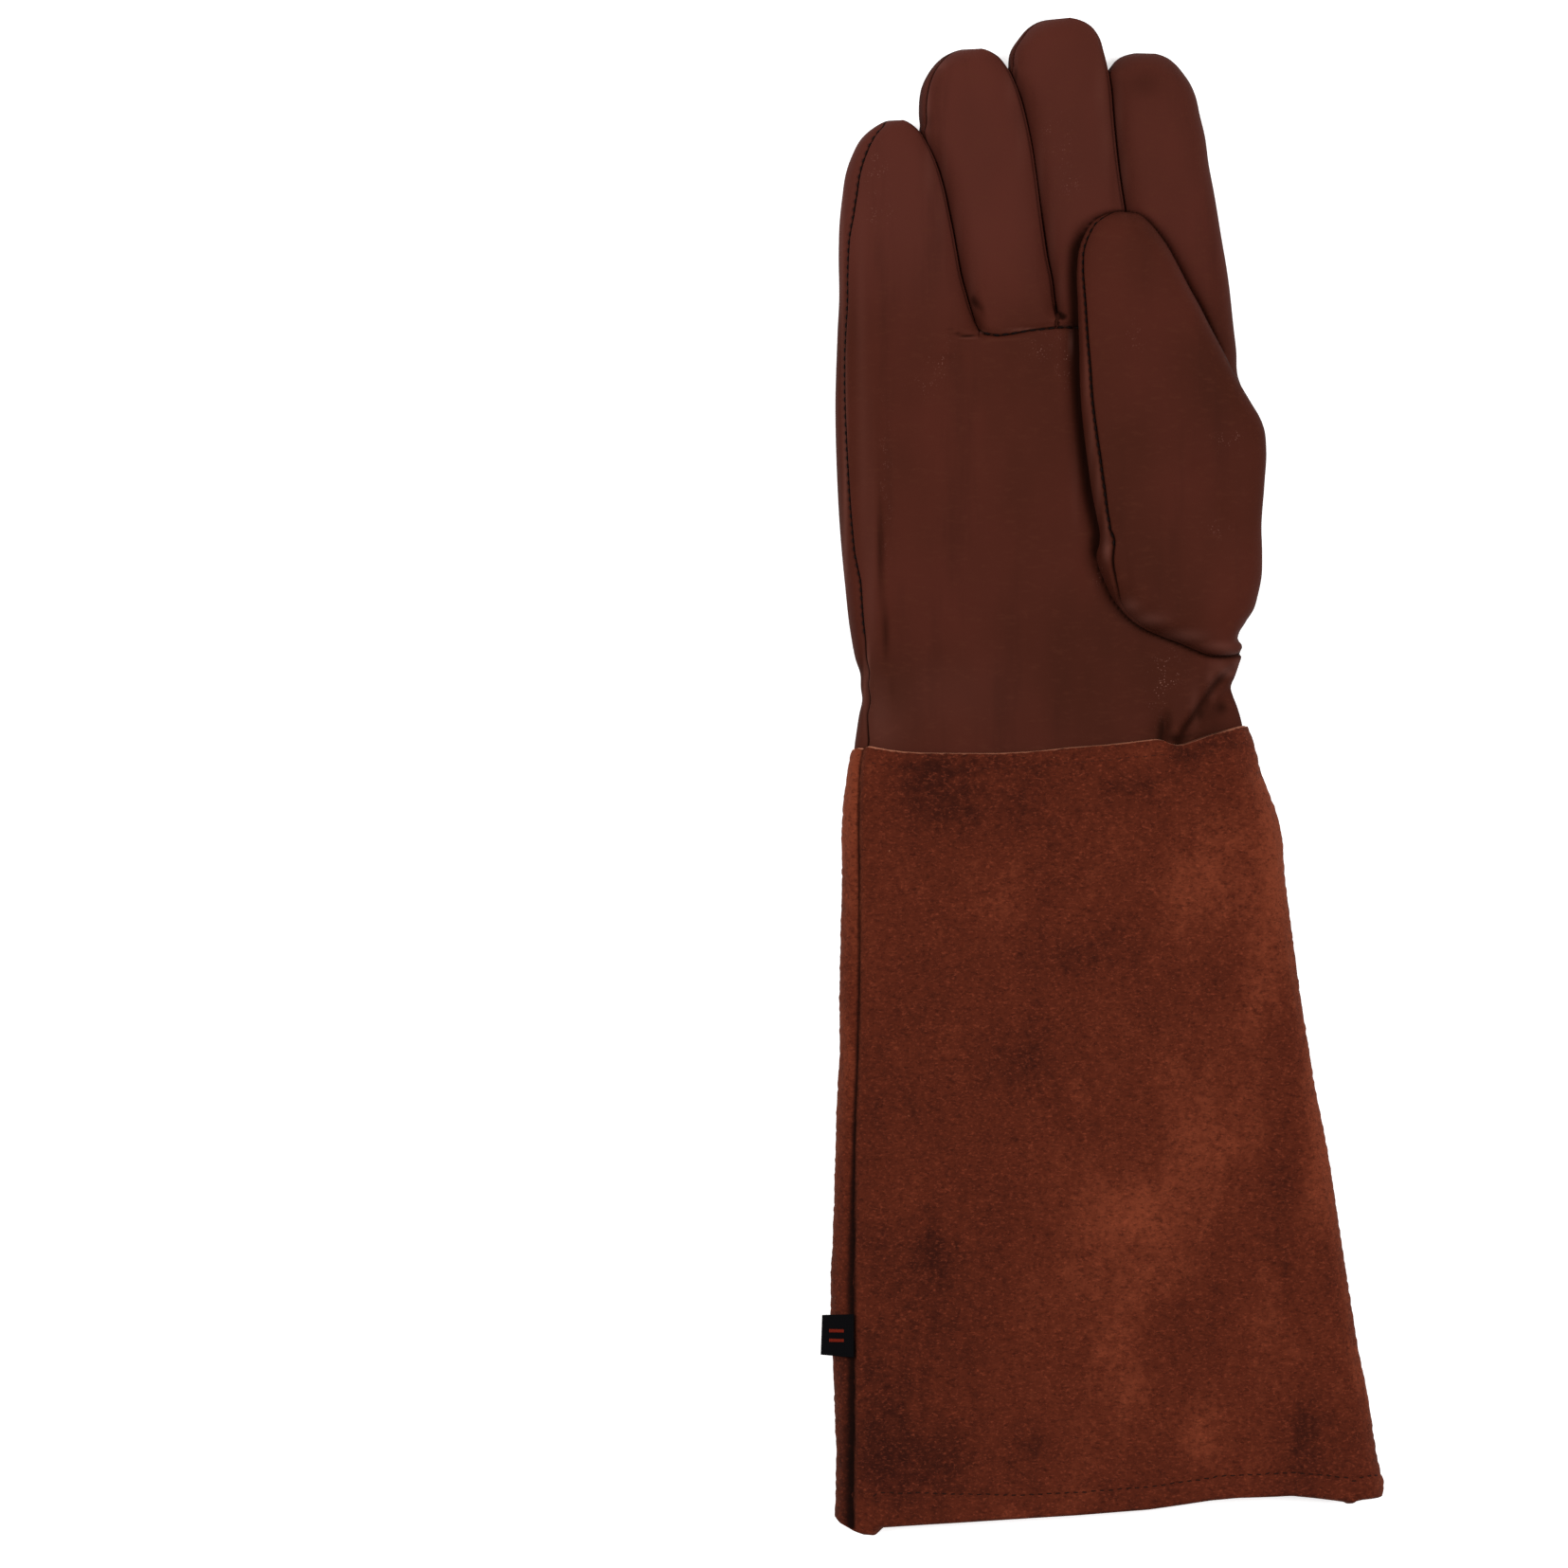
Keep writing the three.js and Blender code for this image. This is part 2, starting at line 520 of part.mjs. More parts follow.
const SMOOTH = 0.5;
const NAPPED = 0.95;
const glove = new THREE.Group();
glove.add(
  mesh("back_panel", backPanel, LEATHER_COLOUR, SMOOTH),
  mesh("palm_panel", palmPanel, LEATHER_COLOUR, SMOOTH),
  mesh("ring_front", ringFront, LEATHER_COLOUR, SMOOTH),
  mesh("middle_front", middleFront, LEATHER_COLOUR, SMOOTH),
  mesh("fork_little_ring", fork("little", "ring"), LEATHER_EDGE_COLOUR, SMOOTH),
  mesh("fork_ring_middle", fork("ring", "middle"), LEATHER_EDGE_COLOUR, SMOOTH),
  mesh("fork_middle_index", fork("middle", "index"), LEATHER_EDGE_COLOUR, SMOOTH),
  mesh("thumb_back", thumbBack, LEATHER_EDGE_COLOUR, SMOOTH),
  mesh("thumb_front", thumbFront, LEATHER_COLOUR, SMOOTH),
  mesh("cuff", cuff, SUEDE_COLOUR, NAPPED),
  mesh("size_tab", sizeTab, TAB_COLOUR, NAPPED),
);

export default glove;
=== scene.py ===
import bmesh
import bpy
import numpy as np
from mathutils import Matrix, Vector


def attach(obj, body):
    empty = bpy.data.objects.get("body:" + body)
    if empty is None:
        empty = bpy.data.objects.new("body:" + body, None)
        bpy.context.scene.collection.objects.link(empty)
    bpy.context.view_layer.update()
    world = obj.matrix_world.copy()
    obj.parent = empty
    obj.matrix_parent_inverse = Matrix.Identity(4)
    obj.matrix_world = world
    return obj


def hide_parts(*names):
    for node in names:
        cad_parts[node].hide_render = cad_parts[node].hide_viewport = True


# A right-hand rose-pruning gauntlet, palm up: smooth leather hand, long suede cuff.
# Numbers are millimetres in the frame of the solids, and become metres where a mesh is made.

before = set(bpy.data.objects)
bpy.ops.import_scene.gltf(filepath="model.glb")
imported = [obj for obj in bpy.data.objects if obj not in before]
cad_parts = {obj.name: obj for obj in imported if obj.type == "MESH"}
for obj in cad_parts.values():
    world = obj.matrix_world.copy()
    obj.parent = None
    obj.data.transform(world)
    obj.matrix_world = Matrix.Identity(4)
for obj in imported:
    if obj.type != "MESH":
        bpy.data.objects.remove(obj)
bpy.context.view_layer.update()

MM = 0.001
PI = np.pi


# Camera

# How much the picture shows across at the height of the glove's outline, and where its centre is
PHOTO_WIDTH = 425.3
PHOTO_CENTRE = (-86.4, -2.6)
CAMERA_HEIGHT = 2500.0
SUBJECT_HEIGHT = 7.0


def add_camera():
    """Looks straight down from far enough away that the glove is nearly free of perspective."""
    data = bpy.data.cameras.new("overhead")
    data.sensor_width = 36.0
    data.lens = data.sensor_width * (CAMERA_HEIGHT - SUBJECT_HEIGHT) / PHOTO_WIDTH
    data.clip_end = 20.0
    camera = bpy.data.objects.new("overhead", data)
    camera.location = Vector((*PHOTO_CENTRE, CAMERA_HEIGHT)) * MM
    bpy.context.scene.collection.objects.link(camera)
    bpy.context.scene.camera = camera


add_camera()


# Lines and tables

def line_through(points, shares):
    """A smooth line through points at shares of its length: a cubic between each two, whose slope at a point
    is that of its neighbours."""
    points = np.asarray(points, float)
    gaps = np.linalg.norm(np.diff(points, axis=0), axis=1)
    knots = np.concatenate([[0], np.cumsum(gaps)]) / gaps.sum()
    slopes = np.gradient(points, knots, axis=0)
    shares = np.clip(shares, 0, 1)
    k = np.clip(np.searchsorted(knots, shares, side="right") - 1, 0, len(points) - 2)
    gap = (knots[k + 1] - knots[k])[:, None]
    u = (shares - knots[k])[:, None] / gap
    start = points[k] * (1 + 2 * u) * (1 - u) ** 2 + points[k + 1] * (3 - 2 * u) * u**2
    return start + gap * (slopes[k] * u * (1 - u) ** 2 - slopes[k + 1] * (1 - u) * u**2)


def across_at(points, y, steps=600):
    """The x of a line that runs along the glove, at heights y."""
    dense = line_through(points, np.linspace(0, 1, steps))
    order = np.argsort(dense[:, 1])
    return np.interp(y, dense[order, 1], dense[order, 0])


def table(rows, at):
    """Reads a two-column table at the places given, with straight lines between its rows."""
    first, second = np.array(rows, float).T
    return np.interp(at, first, second)


def mix(a, b, share):
    return a + (b - a) * share


def smooth(low, high, value):
    """0 below low, 1 above high, an S curve between."""
    share = np.clip((value - low) / (high - low), 0, 1)
    return share * share * (3 - 2 * share)


def quarter_ellipse(share):
    """0 at an edge, 1 at the end of its rounding."""
    return np.sqrt(1 - (1 - np.clip(share, 0, 1)) ** 2)


def ripple(x, y, size, seed, waves=7):
    """Soft waves in all directions, about -1 to 1: a sum of sines of nearly the same length with seeded
    directions and phases."""
    rng = np.random.default_rng(seed)
    turns, phases = rng.uniform(0, PI, waves), rng.uniform(0, 7, waves)
    stretches = rng.uniform(0.7, 1.4, waves)
    total = np.zeros(np.broadcast(x, y).shape)
    for turn, phase, stretch in zip(turns, phases, stretches):
        total += np.sin((x * np.cos(turn) + y * np.sin(turn)) * 2 * PI * stretch / size + phase)
    return total / 3


def folds(x, y, rows):
    """Height of soft folds: each is a bell across the line between its ends, which fades past the ends."""
    total = np.zeros(np.broadcast(x, y).shape)
    for start, end, half_width, height in rows:
        start, end = np.array(start), np.array(end)
        along = end - start
        length = np.linalg.norm(along)
        share = ((x - start[0]) * along[0] + (y - start[1]) * along[1]) / length**2
        near = np.clip(share, 0.12, 0.88)
        away = np.hypot(x - start[0] - near * along[0], y - start[1] - near * along[1])
        total += height * np.exp(-((away / half_width) ** 2))
    return total


def spots(x, y, rows):
    """Sum of soft round spots."""
    total = np.zeros(np.broadcast(x, y).shape)
    for at_x, at_y, wide, high, amount in rows:
        total += amount * np.exp(-(((x - at_x) / wide) ** 2) - ((y - at_y) / high) ** 2)
    return total


# Measured lines of the hand, x and y, from the wrist up

HAND_LEFT = [
    (-67.2, -6), (-67.3, 7.7), (-66.8, 11.3), (-66, 16.4), (-65.2, 20.3), (-65.6, 23.6), (-65.7, 27.2),
    (-66.9, 30.8), (-68.4, 38.5), (-69.9, 51.6), (-71.3, 67.1), (-72.1, 82.2), (-72.5, 98.9), (-71.9, 121),
]
HAND_RIGHT = [
    (37.2, -6), (37.8, 13.9), (36.6, 18.2), (35.3, 21.6), (34.8, 23.4), (36, 26.7), (37.3, 30.6),
    (37.7, 31.9), (37.1, 32.9), (37.9, 34.2), (37.7, 35.4), (36.7, 36.5), (37, 38.2), (38.8, 41.2),
    (41.8, 48.6), (42.5, 53.2), (42.6, 60), (42.5, 66.8), (43.3, 78.6), (43.8, 88), (42.9, 94.5),
    (41.4, 97.6), (38.4, 103.6), (36.8, 107.7), (36.3, 115.1), (35.6, 121.5),
]
LITTLE_LEFT = [
    (-71.9, 121), (-71.5, 128), (-71.6, 141.6), (-71.4, 148.8), (-70.6, 156.8), (-69.6, 163.2),
    (-68, 167.8), (-65.5, 172.4), (-62, 175.5), (-58.5, 177.3), (-56, 177.6),
]
LITTLE_RIGHT = [
    (-33.7, 120.8), (-35.5, 125.1), (-37, 130), (-38.4, 134.9), (-39.5, 140.8), (-40.6, 147),
    (-41.7, 152.4), (-43.1, 158.8), (-44.6, 164), (-46.2, 168.1), (-47.9, 171.4), (-49.5, 174),
    (-51.3, 175.8), (-53.9, 177.3), (-56, 177.6),
]
RING_LEFT = [
    (-33.7, 120.8), (-35.1, 125.1), (-36.6, 130), (-37.9, 134.9), (-39.1, 140.8), (-40.2, 147),
    (-41.3, 152.4), (-42.7, 158.8), (-44.2, 164), (-46, 168.1), (-48, 171.8), (-49.4, 175.8),
    (-49.8, 181.4), (-49.1, 186.4), (-46.8, 191), (-43.8, 194.3), (-40.4, 196.2), (-37.8, 196.9),
    (-35.4, 197),
]
RING_RIGHT = [
    (-12.6, 121.5), (-12.7, 125.9), (-13.1, 128.7), (-13.8, 134.1), (-14.9, 139.3), (-16.1, 147),
    (-17.1, 154.7), (-18.3, 164), (-19.4, 171.1), (-20.6, 176.8), (-22.2, 183), (-24, 187.9),
    (-26.1, 191.8), (-28.4, 194.6), (-31.6, 196.4), (-35.4, 197),
]
MIDDLE_LEFT = [
    (-12.6, 121.5), (-12.3, 125.9), (-12.7, 128.7), (-13.4, 134.1), (-14.4, 139.3), (-15.6, 147),
    (-16.9, 154.7), (-18.2, 164), (-19.3, 171.1), (-20.4, 176.8), (-21.9, 183), (-23.9, 187.9),
    (-25.5, 192.2), (-25, 196.1), (-22.8, 199.6), (-20.5, 202.3), (-17.6, 204.2), (-14.3, 205),
    (-11.8, 205.2),
]
MIDDLE_RIGHT = [
    (9.2, 121.5), (8.2, 129.5), (7, 139.5), (5.9, 153.2), (5.1, 158.3), (4.3, 164), (3.5, 171.1),
    (2.8, 178.6), (2.2, 186.1), (1.3, 191.5), (0.2, 196), (-0.9, 199.6), (-3.1, 202.7), (-6.3, 204.5),
    (-9.2, 205.1), (-11.8, 205.2),
]
INDEX_LEFT = [
    (9.2, 121.5), (8.6, 129.5), (7.4, 139.5), (6.3, 153.2), (5.5, 158.3), (4.7, 164), (3.9, 171.1),
    (3.2, 178.6), (2.5, 186.1), (1.9, 190.4), (3, 193.1), (5, 194.7), (8, 195.7), (11.9, 196),
]
INDEX_RIGHT = [
    (35.6, 121.5), (34, 135.4), (32.2, 146.2), (30.4, 157.2), (28.8, 165.8), (27.8, 173.2), (26.5, 178.6),
    (25.2, 184.2), (23.7, 187.6), (21.9, 190.2), (20, 192.5), (17.8, 194.3), (14.8, 195.5), (11.9, 196),
]
THUMB_LEFT = [
    (37.2, 32.7), (33.1, 32.2), (28.8, 32.5), (25.5, 33.7), (21.1, 35.6), (16, 37.5), (10.9, 39.8),
    (7.2, 42.5), (5, 44.9), (2.5, 48.4), (0.4, 53), (-1.4, 58), (-1.5, 60.2), (-0.9, 62.2), (-0.7, 65),
    (-1.6, 70), (-3, 77), (-4.1, 85), (-5.1, 93), (-5.9, 101.4), (-6.2, 108), (-6.3, 114.1), (-6.7, 126.9),
    (-6.9, 137.5), (-6.3, 142.6), (-4.8, 146.5), (-2.8, 149.6), (0.3, 151.6), (3.7, 152.6), (7, 152.7),
]
THUMB_RIGHT = [
    (37.2, 32.9), (37.8, 33.9), (37.8, 35.2), (36.7, 36.6), (37, 38.2), (38.8, 41.2), (41.2, 45),
    (42.2, 48.6), (43.1, 53.2), (43.3, 60), (43.1, 66.8), (43.9, 78.6), (44.4, 88), (43.8, 93.8),
    (42.5, 97.1), (40.7, 100.1), (38.6, 103.6), (36.4, 107.4), (32.6, 115), (30.2, 119.7), (26.8, 126.2),
    (23.5, 132.1), (20.2, 138.5), (17.3, 143.7), (14.9, 147), (12.1, 150.2), (9.6, 152), (7, 152.7),
]

# How far the seam of the wrapped edge lies in from the outline: height along the hand, inset
LITTLE_SEAM_INSET = [
    (-6, 3.4), (9, 3.4), (16, 1.9), (25, 1.7), (36, 3.4), (52, 4), (60, 3.1), (78, 2.8), (94, 2.5),
    (114, 1.9), (134, 2), (145, 2.5), (151, 3.3), (157, 3.6), (163, 3.6), (168, 3.4), (172, 3.1), (176, 2),
    (178, 0.6),
]
THUMB_SEAM_INSET = [
    (32, 0.2), (43, 0.3), (46, 0.7), (49, 1.85), (54, 2.9), (58, 4.1), (60, 4.4), (62.5, 3.5), (65, 2.4),
    (70, 2.6), (76, 3.1), (84, 3.1), (92, 2.9), (100, 2.7), (108, 2.5), (116, 1.95), (124, 1.7), (132, 1.4),
    (140, 0.95), (146, 0.8), (153, 0.5),
]

# How far the shadow of the thumb reaches over the glove, by share of its outline from the base round the tip
THUMB_SHADOW = [(0, 1.0), (0.255, 0.9), (0.268, 2.3), (0.675, 2.5), (0.705, 0.7), (0.95, 0.9), (1, 0.4)]

# How far the seams of the strips between the fingers lie in from a finger's edge, on the palm side and on the
# back: height along the hand, inset
RING_RIM = [(121, 0.0), (160, 0.2), (171, 0.8), (178, 1.7), (186, 1.8), (193, 1.2), (197, 0.4)]
MIDDLE_RIM = [(121, 0.0), (176, 0.2), (186, 0.6), (192, 1.1), (200, 0.9), (205, 0.3)]
FORK_RIM = [(121.5, 0.0), (127, 0.5), (200, 0.5)]
FORK_BACK = [(121.5, 0.0), (127, 1.2), (200, 1.2)]

# Levels of the palm side and of the back above the floor: height along the hand, level
HAND_TOP = [
    (-6, 13.3), (12, 13.3), (18, 13.5), (26, 14), (34, 14.6), (42, 15), (104, 15), (114, 14.8), (122, 14.5),
    (150, 14.1), (206, 13.8),
]
HAND_LOW = [(-6, 1.7), (14, 1.7), (22, 1.2), (29, 0.6), (34, 0.2), (42, 0), (206, 0)]

# How wide the free edge of the palm is rounded, and how much of such a rounding the back has
PALM_ROUND = 9.0
LOW_ROUND_SHARE = 0.62

# Where the leather between two fingers starts to sink, where it has sunk to the middle of the hand, and where
# the fingers stop touching
WEB = {
    "little_ring": (118.5, 123.5, 174),
    "ring_middle": (122.6, 127, 190),
    "middle_index": (117, 124, 190.3),
}

# The line where ring and middle fronts are sewn to the palm sags a little: x, how far below straight
ROOT_SEAM_Y = 121.0
ROOT_SEAM_RISE = 0.2
ROOT_SEAM_SAG = [
    (-34.4, 0.6), (-33.4, 1), (-31.9, 1.9), (-28.7, 2.4), (-24.9, 2), (-20.5, 1.2), (-15, 0.6), (-12, 0.3),
]

# Folds and dents of the palm side: two ends, half width, height
HAND_FOLDS = [
    ((-62.6, 84), (-60.4, 46), 1.8, 0.3), ((-60.4, 46), (-57, 12), 1.8, 0.42),
    ((-59.4, 84), (-57, 46), 2.2, -0.26), ((-57, 46), (-53.4, 12), 2.2, -0.36),
    ((35.4, 23.6), (29.6, 17.6), 1, -0.9), ((35.6, 20), (34.6, 11), 2, 0.4),
    ((8, 15.4), (15, 18.2), 1.6, -0.25), ((-42.3, 119.4), (-35, 118), 0.7, -0.45),
    ((-41, 121.8), (-35.4, 120.2), 0.8, 0.25), ((-46, 116.6), (-36.5, 114.4), 1.2, -0.22),
    ((-35.4, 128.6), (-33.2, 125.2), 1.1, -0.6), ((-33.2, 129.6), (-31.2, 125.4), 1, 0.25),
    ((-30.8, 137), (-29.4, 126), 1.2, -0.22), ((-12.2, 125.6), (-10.6, 123.8), 0.8, -1.2),
    ((-14.6, 121.6), (-13.9, 127.6), 0.4, -0.45), ((-66, 168), (-63, 130), 1.6, 0.2),
    ((-62.6, 168), (-60.4, 130), 1.8, -0.24), ((1, 66), (8, 40), 2.4, -0.3),
    ((-3.6, 100), (-2.6, 68), 2, -0.2),
]
THUMB_FOLDS = [
    ((5.2, 64), (6.4, 47), 1.4, -0.35), ((8.6, 62), (9.2, 46.5), 1.6, 0.25),
    ((12, 124), (17, 108), 1.8, -0.22), ((2, 126), (3.6, 104), 1.5, 0.15), ((33, 98), (26, 70), 2.6, 0.25),
    ((40.5, 96), (40, 62), 1.6, -0.25), ((37.6, 46), (31, 39), 1.4, -0.35),
    ((23, 84), (37, 64), 2.6, -0.85),
]

# The fold at the wrist below the thumb: height, x of its crest
WRIST_CREST = [
    (6, 17), (12.4, 19.6), (16.7, 22.6), (20.9, 25.4), (23.8, 27.4), (27.6, 30.6), (29.7, 33.6), (31.2, 37.4),
]

# Places painted with shade in pockets, folds and along edges, then places painted with highlights: x, y,
# half width, half height, amount
SHADE_PLACES = [
    (28, 20.6, 1.2, 2.6, 0.4), (26, 16.6, 1.6, 2.8, 0.5), (23, 10.2, 2.4, 1.2, 0.2),
    (32.2, 18.4, 2, 2, 0.42), (29.4, 15.6, 2.8, 3.4, 0.2), (15.6, 12.4, 2.2, 2.4, 0.38),
    (14.6, 16.6, 3.6, 1.8, 0.2), (17.6, 15.6, 1.6, 3, 0.26), (18.4, 12.4, 1.2, 3, 0.22),
    (30.4, 12.4, 4, 1.2, 0.14), (-35.2, 128.6, 1, 1.6, 0.5), (-34.2, 127.2, 1.1, 1.2, 0.45),
    (-33, 126, 1.2, 0.9, 0.3), (-32, 133, 0.9, 6, 0.22), (-12.8, 126.2, 0.8, 1.4, 0.7),
    (-12, 124.5, 1, 0.9, 1), (-10.9, 123.8, 1.1, 0.8, 1), (-41.6, 120.4, 1.6, 0.5, 0.4),
    (-39.6, 119.3, 1.4, 0.5, 0.5), (-35.4, 118.7, 1.6, 0.45, 0.5), (-28, 160, 1.2, 14, 0.12),
    (37.6, 40, 2.4, 2.4, 0.22), (-37.6, 118.5, 1.8, 0.5, 0.6), (-42, 113, 7, 1.8, 0.26),
    (-61, 96, 1.3, 18, 0.2), (-59.8, 60, 1.4, 16, 0.26), (-58.8, 36, 1.4, 9, 0.32),
    (-57.2, 23, 1.1, 5, 0.28), (-65.4, 28, 1.1, 6, 0.4), (20, 9.6, 3.4, 1.4, 0.6), (27, 11, 4, 1.2, 0.34),
    (34, 13.4, 3.5, 1, 0.12), (31, 17, 4.6, 5, 0.16), (11, 11.6, 5, 1.6, 0.16), (-2.8, 63, 1.2, 2.8, 0.6),
    (-60.6, 62, 1.2, 16, 0.34), (-58.9, 40, 1.2, 9, 0.2), (11, 188, 7, 5, 0.14),
    (-47, 176.5, 0.9, 4.5, 0.35), (-23.6, 189.5, 0.8, 3.4, 0.5), (11, 186, 8, 6, 0.22),
    (-6.2, 55, 2, 8, 0.14), (-24, 66, 6, 9, 0.1), (-27.4, 182, 2.2, 6, 0.12),
]
HIGHLIGHT_PLACES = [
    (31.4, 29.4, 2.6, 1.6, 0.24), (29, 26.2, 1.2, 1.8, 0.22), (34.4, 27.5, 2.6, 1.1, 0.4),
    (36.4, 30, 1.2, 1.4, 0.35), (29.4, 22, 1.4, 2, 0.12), (-47.4, 180, 0.6, 9, 0.35),
    (-44, 192.2, 1.6, 1.2, 0.25), (-23.6, 193, 0.6, 5, 0.2), (-63.6, 29, 0.5, 6, 0.45),
    (-62.4, 56, 1.4, 34, 0.1), (-60.6, 20, 2.6, 8, 0.1), (6.8, 45.4, 2.6, 1.8, 0.34),
    (12, 41.8, 4.6, 1.6, 0.34), (22, 37.4, 5.4, 1.6, 0.36), (31, 34.6, 4.4, 1.3, 0.36),
    (-7.6, 80, 1.2, 12, 0.1), (-21, 120.3, 4.6, 0.35, 0.55), (-33, 119.7, 0.8, 0.35, 0.75),
    (-10, 121.2, 2.4, 0.3, 0.45), (-8.6, 117, 0.6, 3.6, 0.6), (0.5, 60.5, 0.9, 2.6, 0.5),
    (-36.5, 118, 2.4, 0.3, 0.25), (34, 33, 3, 0.8, 0.2), (-70.6, 130, 0.4, 40, 0.3),
    (-69.8, 80, 0.6, 40, 0.45), (-64.6, 24, 0.5, 8, 0.4), (24.6, 18.6, 1.2, 5, 0.16),
    (-65.6, 124, 1.3, 26, 0.1), (-64.9, 82, 1.4, 26, 0.12), (-63.8, 45, 1.3, 14, 0.1),
    (-24.8, 187, 1.8, 6, 0.16), (-22, 174, 1.6, 9, 0.12), (-0.6, 186, 1.6, 8, 0.13),
    (0.8, 172, 1.5, 9, 0.12), (-46.8, 164, 1.8, 7, 0.14), (-43.6, 152, 1.6, 8, 0.09),
    (-4.9, 106, 0.8, 9, 0.2), (-3.6, 90, 0.8, 9, 0.22), (-1.8, 77, 0.8, 8, 0.22), (0.4, 66.5, 0.8, 6, 0.2),
    (4, 176, 1.3, 12, 0.24), (5.6, 160, 1.3, 7, 0.24), (-43, 162, 1, 8, 0.14), (-39.4, 146, 1.1, 9, 0.14),
    (-35.6, 131, 1.1, 6, 0.12), (-17.2, 162, 1.2, 9, 0.18), (-14, 144, 1.2, 10, 0.16),
    (-11.4, 131, 1, 6, 0.16), (-8.8, 117, 0.6, 3, 0.4), (-42, 22, 18, 9, 0.07), (-60, 12, 6, 7, 0.14),
]


def bell(value, below, above):
    """A bell with one width below zero and another above."""
    return np.exp(-((value / np.where(value < 0, below, above)) ** 2))


def past_tuck(x, y):
    """How far right of the tuck at the wrist a place is. The tuck leans a little to the right."""
    return x - 16.7 + (17 - y) * 0.1


# How high or deep the parts of the fold at the wrist are
SWELL, DROP, SECOND_SWELL, BULGE, TUCK = 0.9, 2.7, 1.1, 0.7, 1.6


def wrist_fold(x, y):
    """A fold whose crest slants up to the right: the leather swells up to it, drops sharply behind it and
    levels out, with a second crest and a bulge behind it. Left of it a tuck runs down into the cuff."""
    past = x - table(WRIST_CREST, y)
    step = SWELL * bell(past, 3.4, 1.4) - DROP * smooth(0.0, 4.4, past)
    second = SECOND_SWELL * bell((x - 33.5) * 0.7 + (y - 26.5) * 0.72, 1.8, 1.4) * smooth(27.5, 31.0, x)
    bulge = BULGE * bell(past - 5.4, 1.3, 1.6) * smooth(27.0, 22.0, y)
    tuck = TUCK * bell(past_tuck(x, y), 3.4, 1.1) * smooth(19.6, 12.0, y)
    return (step + second + bulge) * smooth(31.5, 27.0, y) - tuck


# Leather tubes

class Tube:
    """A flattened tube between a left and a right line, row by row. An angle goes round it from the left edge
    over the palm side (0 to pi) and back under (pi to 2 pi). At an edge that is fully parted the section is a
    quarter ellipse down to the side level, and at an unparted edge it stays flat and joins its neighbour.
    closing falls from 1 to 0 where the tube ends, surface holds the functions for its levels, relief and
    painted shade, and sides says how far up between the levels each edge lies."""

    def __init__(self, left, right, parted, rounding, closing, surface, sides):
        self.left, self.right = left, right
        self.parted, self.rounding, self.closing = parted, rounding, closing
        self.surface = surface
        self.sides = [np.broadcast_to(side, len(left)) for side in sides]
        self.levels, self.relief, self.painted_shade = surface
        self.width = np.maximum(np.linalg.norm(right - left, axis=1), 1e-3)

    def __getitem__(self, rows):
        parted = [edge[rows] for edge in self.parted]
        rounding = [edge[rows] for edge in self.rounding]
        edges = self.left[rows], self.right[rows]
        sides = [edge[rows] for edge in self.sides]
        return Tube(*edges, parted, rounding, self.closing[rows], self.surface, sides)

    def by_height(self, rows):
        """A table read at the heights of the left edge."""
        return table(rows, self.left[:, 1])

    def inset_angle(self, inset):
        """How far round from an edge the surface is inset by a width, which is at most a fifth of the tube's
        and shrinks to nothing where the tube closes."""
        inset = inset * np.clip(1.5 * self.closing, 0, 1)
        return np.arccos(1 - 2 * np.clip(inset / self.width, 0, 0.2))

    def left_seam(self, insets):
        """How far round from the left edge a seam lies, by a table of its inset."""
        return self.inset_angle(self.by_height(insets))

    def right_seam(self, insets):
        return self.inset_angle(table(insets, self.right[:, 1]))

    def points(self, angle):
        """The surface at angles per row. It sinks towards the seam across the finger roots."""
        share = (1 - np.cos(angle)) / 2
        place = mix(self.left[:, None, :], self.right[:, None, :], share[..., None])
        x, y = place[..., 0], place[..., 1]
        sag = table(ROOT_SEAM_SAG, x) * np.exp(-(((y - ROOT_SEAM_Y) / SAG_REACH) ** 2))
        over = np.sin(angle) >= 0
        shrink = np.where(over, 1.0, LOW_ROUND_SHARE)
        from_left = share * self.width[:, None] / (self.rounding[0][:, None] * shrink)
        from_right = (1 - share) * self.width[:, None] / (self.rounding[1][:, None] * shrink)
        drop = self.parted[0][:, None] * (1 - quarter_ellipse(from_left))
        drop = drop + self.parted[1][:, None] * (1 - quarter_ellipse(from_right))
        top, low = self.levels(y)
        side = mix(low, top, mix(self.sides[0][:, None], self.sides[1][:, None], share))
        swell = self.closing[:, None] * np.clip(1 - drop, 0, 1)
        z = side + np.where(over, top + self.relief(x, y) - side, low - side) * swell
        return np.stack([x, y - sag, z], axis=-1)


PALM_ROWS = 196
FINGER_ROWS = 116
THUMB_ROWS = 170
SAG_REACH = 5
PALM_LEVEL, THUMB_EDGE_LEVEL = 15, 19
THUMB_LOW, THUMB_TOP = 15.3, 26.6


def hand_levels(y):
    return table(HAND_TOP, y), table(HAND_LOW, y)


def thumb_levels(y):
    """The thumb lies on the palm."""
    return np.full_like(y, THUMB_TOP), np.full_like(y, THUMB_LOW)


def raised(points, height):
    """Where points measured in the picture are if they lie higher than the outline of the glove does."""
    centre = np.array(PHOTO_CENTRE)
    return centre + (np.array(points) - centre) * (CAMERA_HEIGHT - height) / (CAMERA_HEIGHT - SUBJECT_HEIGHT)


# The row of THUMB_RIGHT up to which the thumb's right edge is the outline of the glove
THUMB_CLEAR = 17


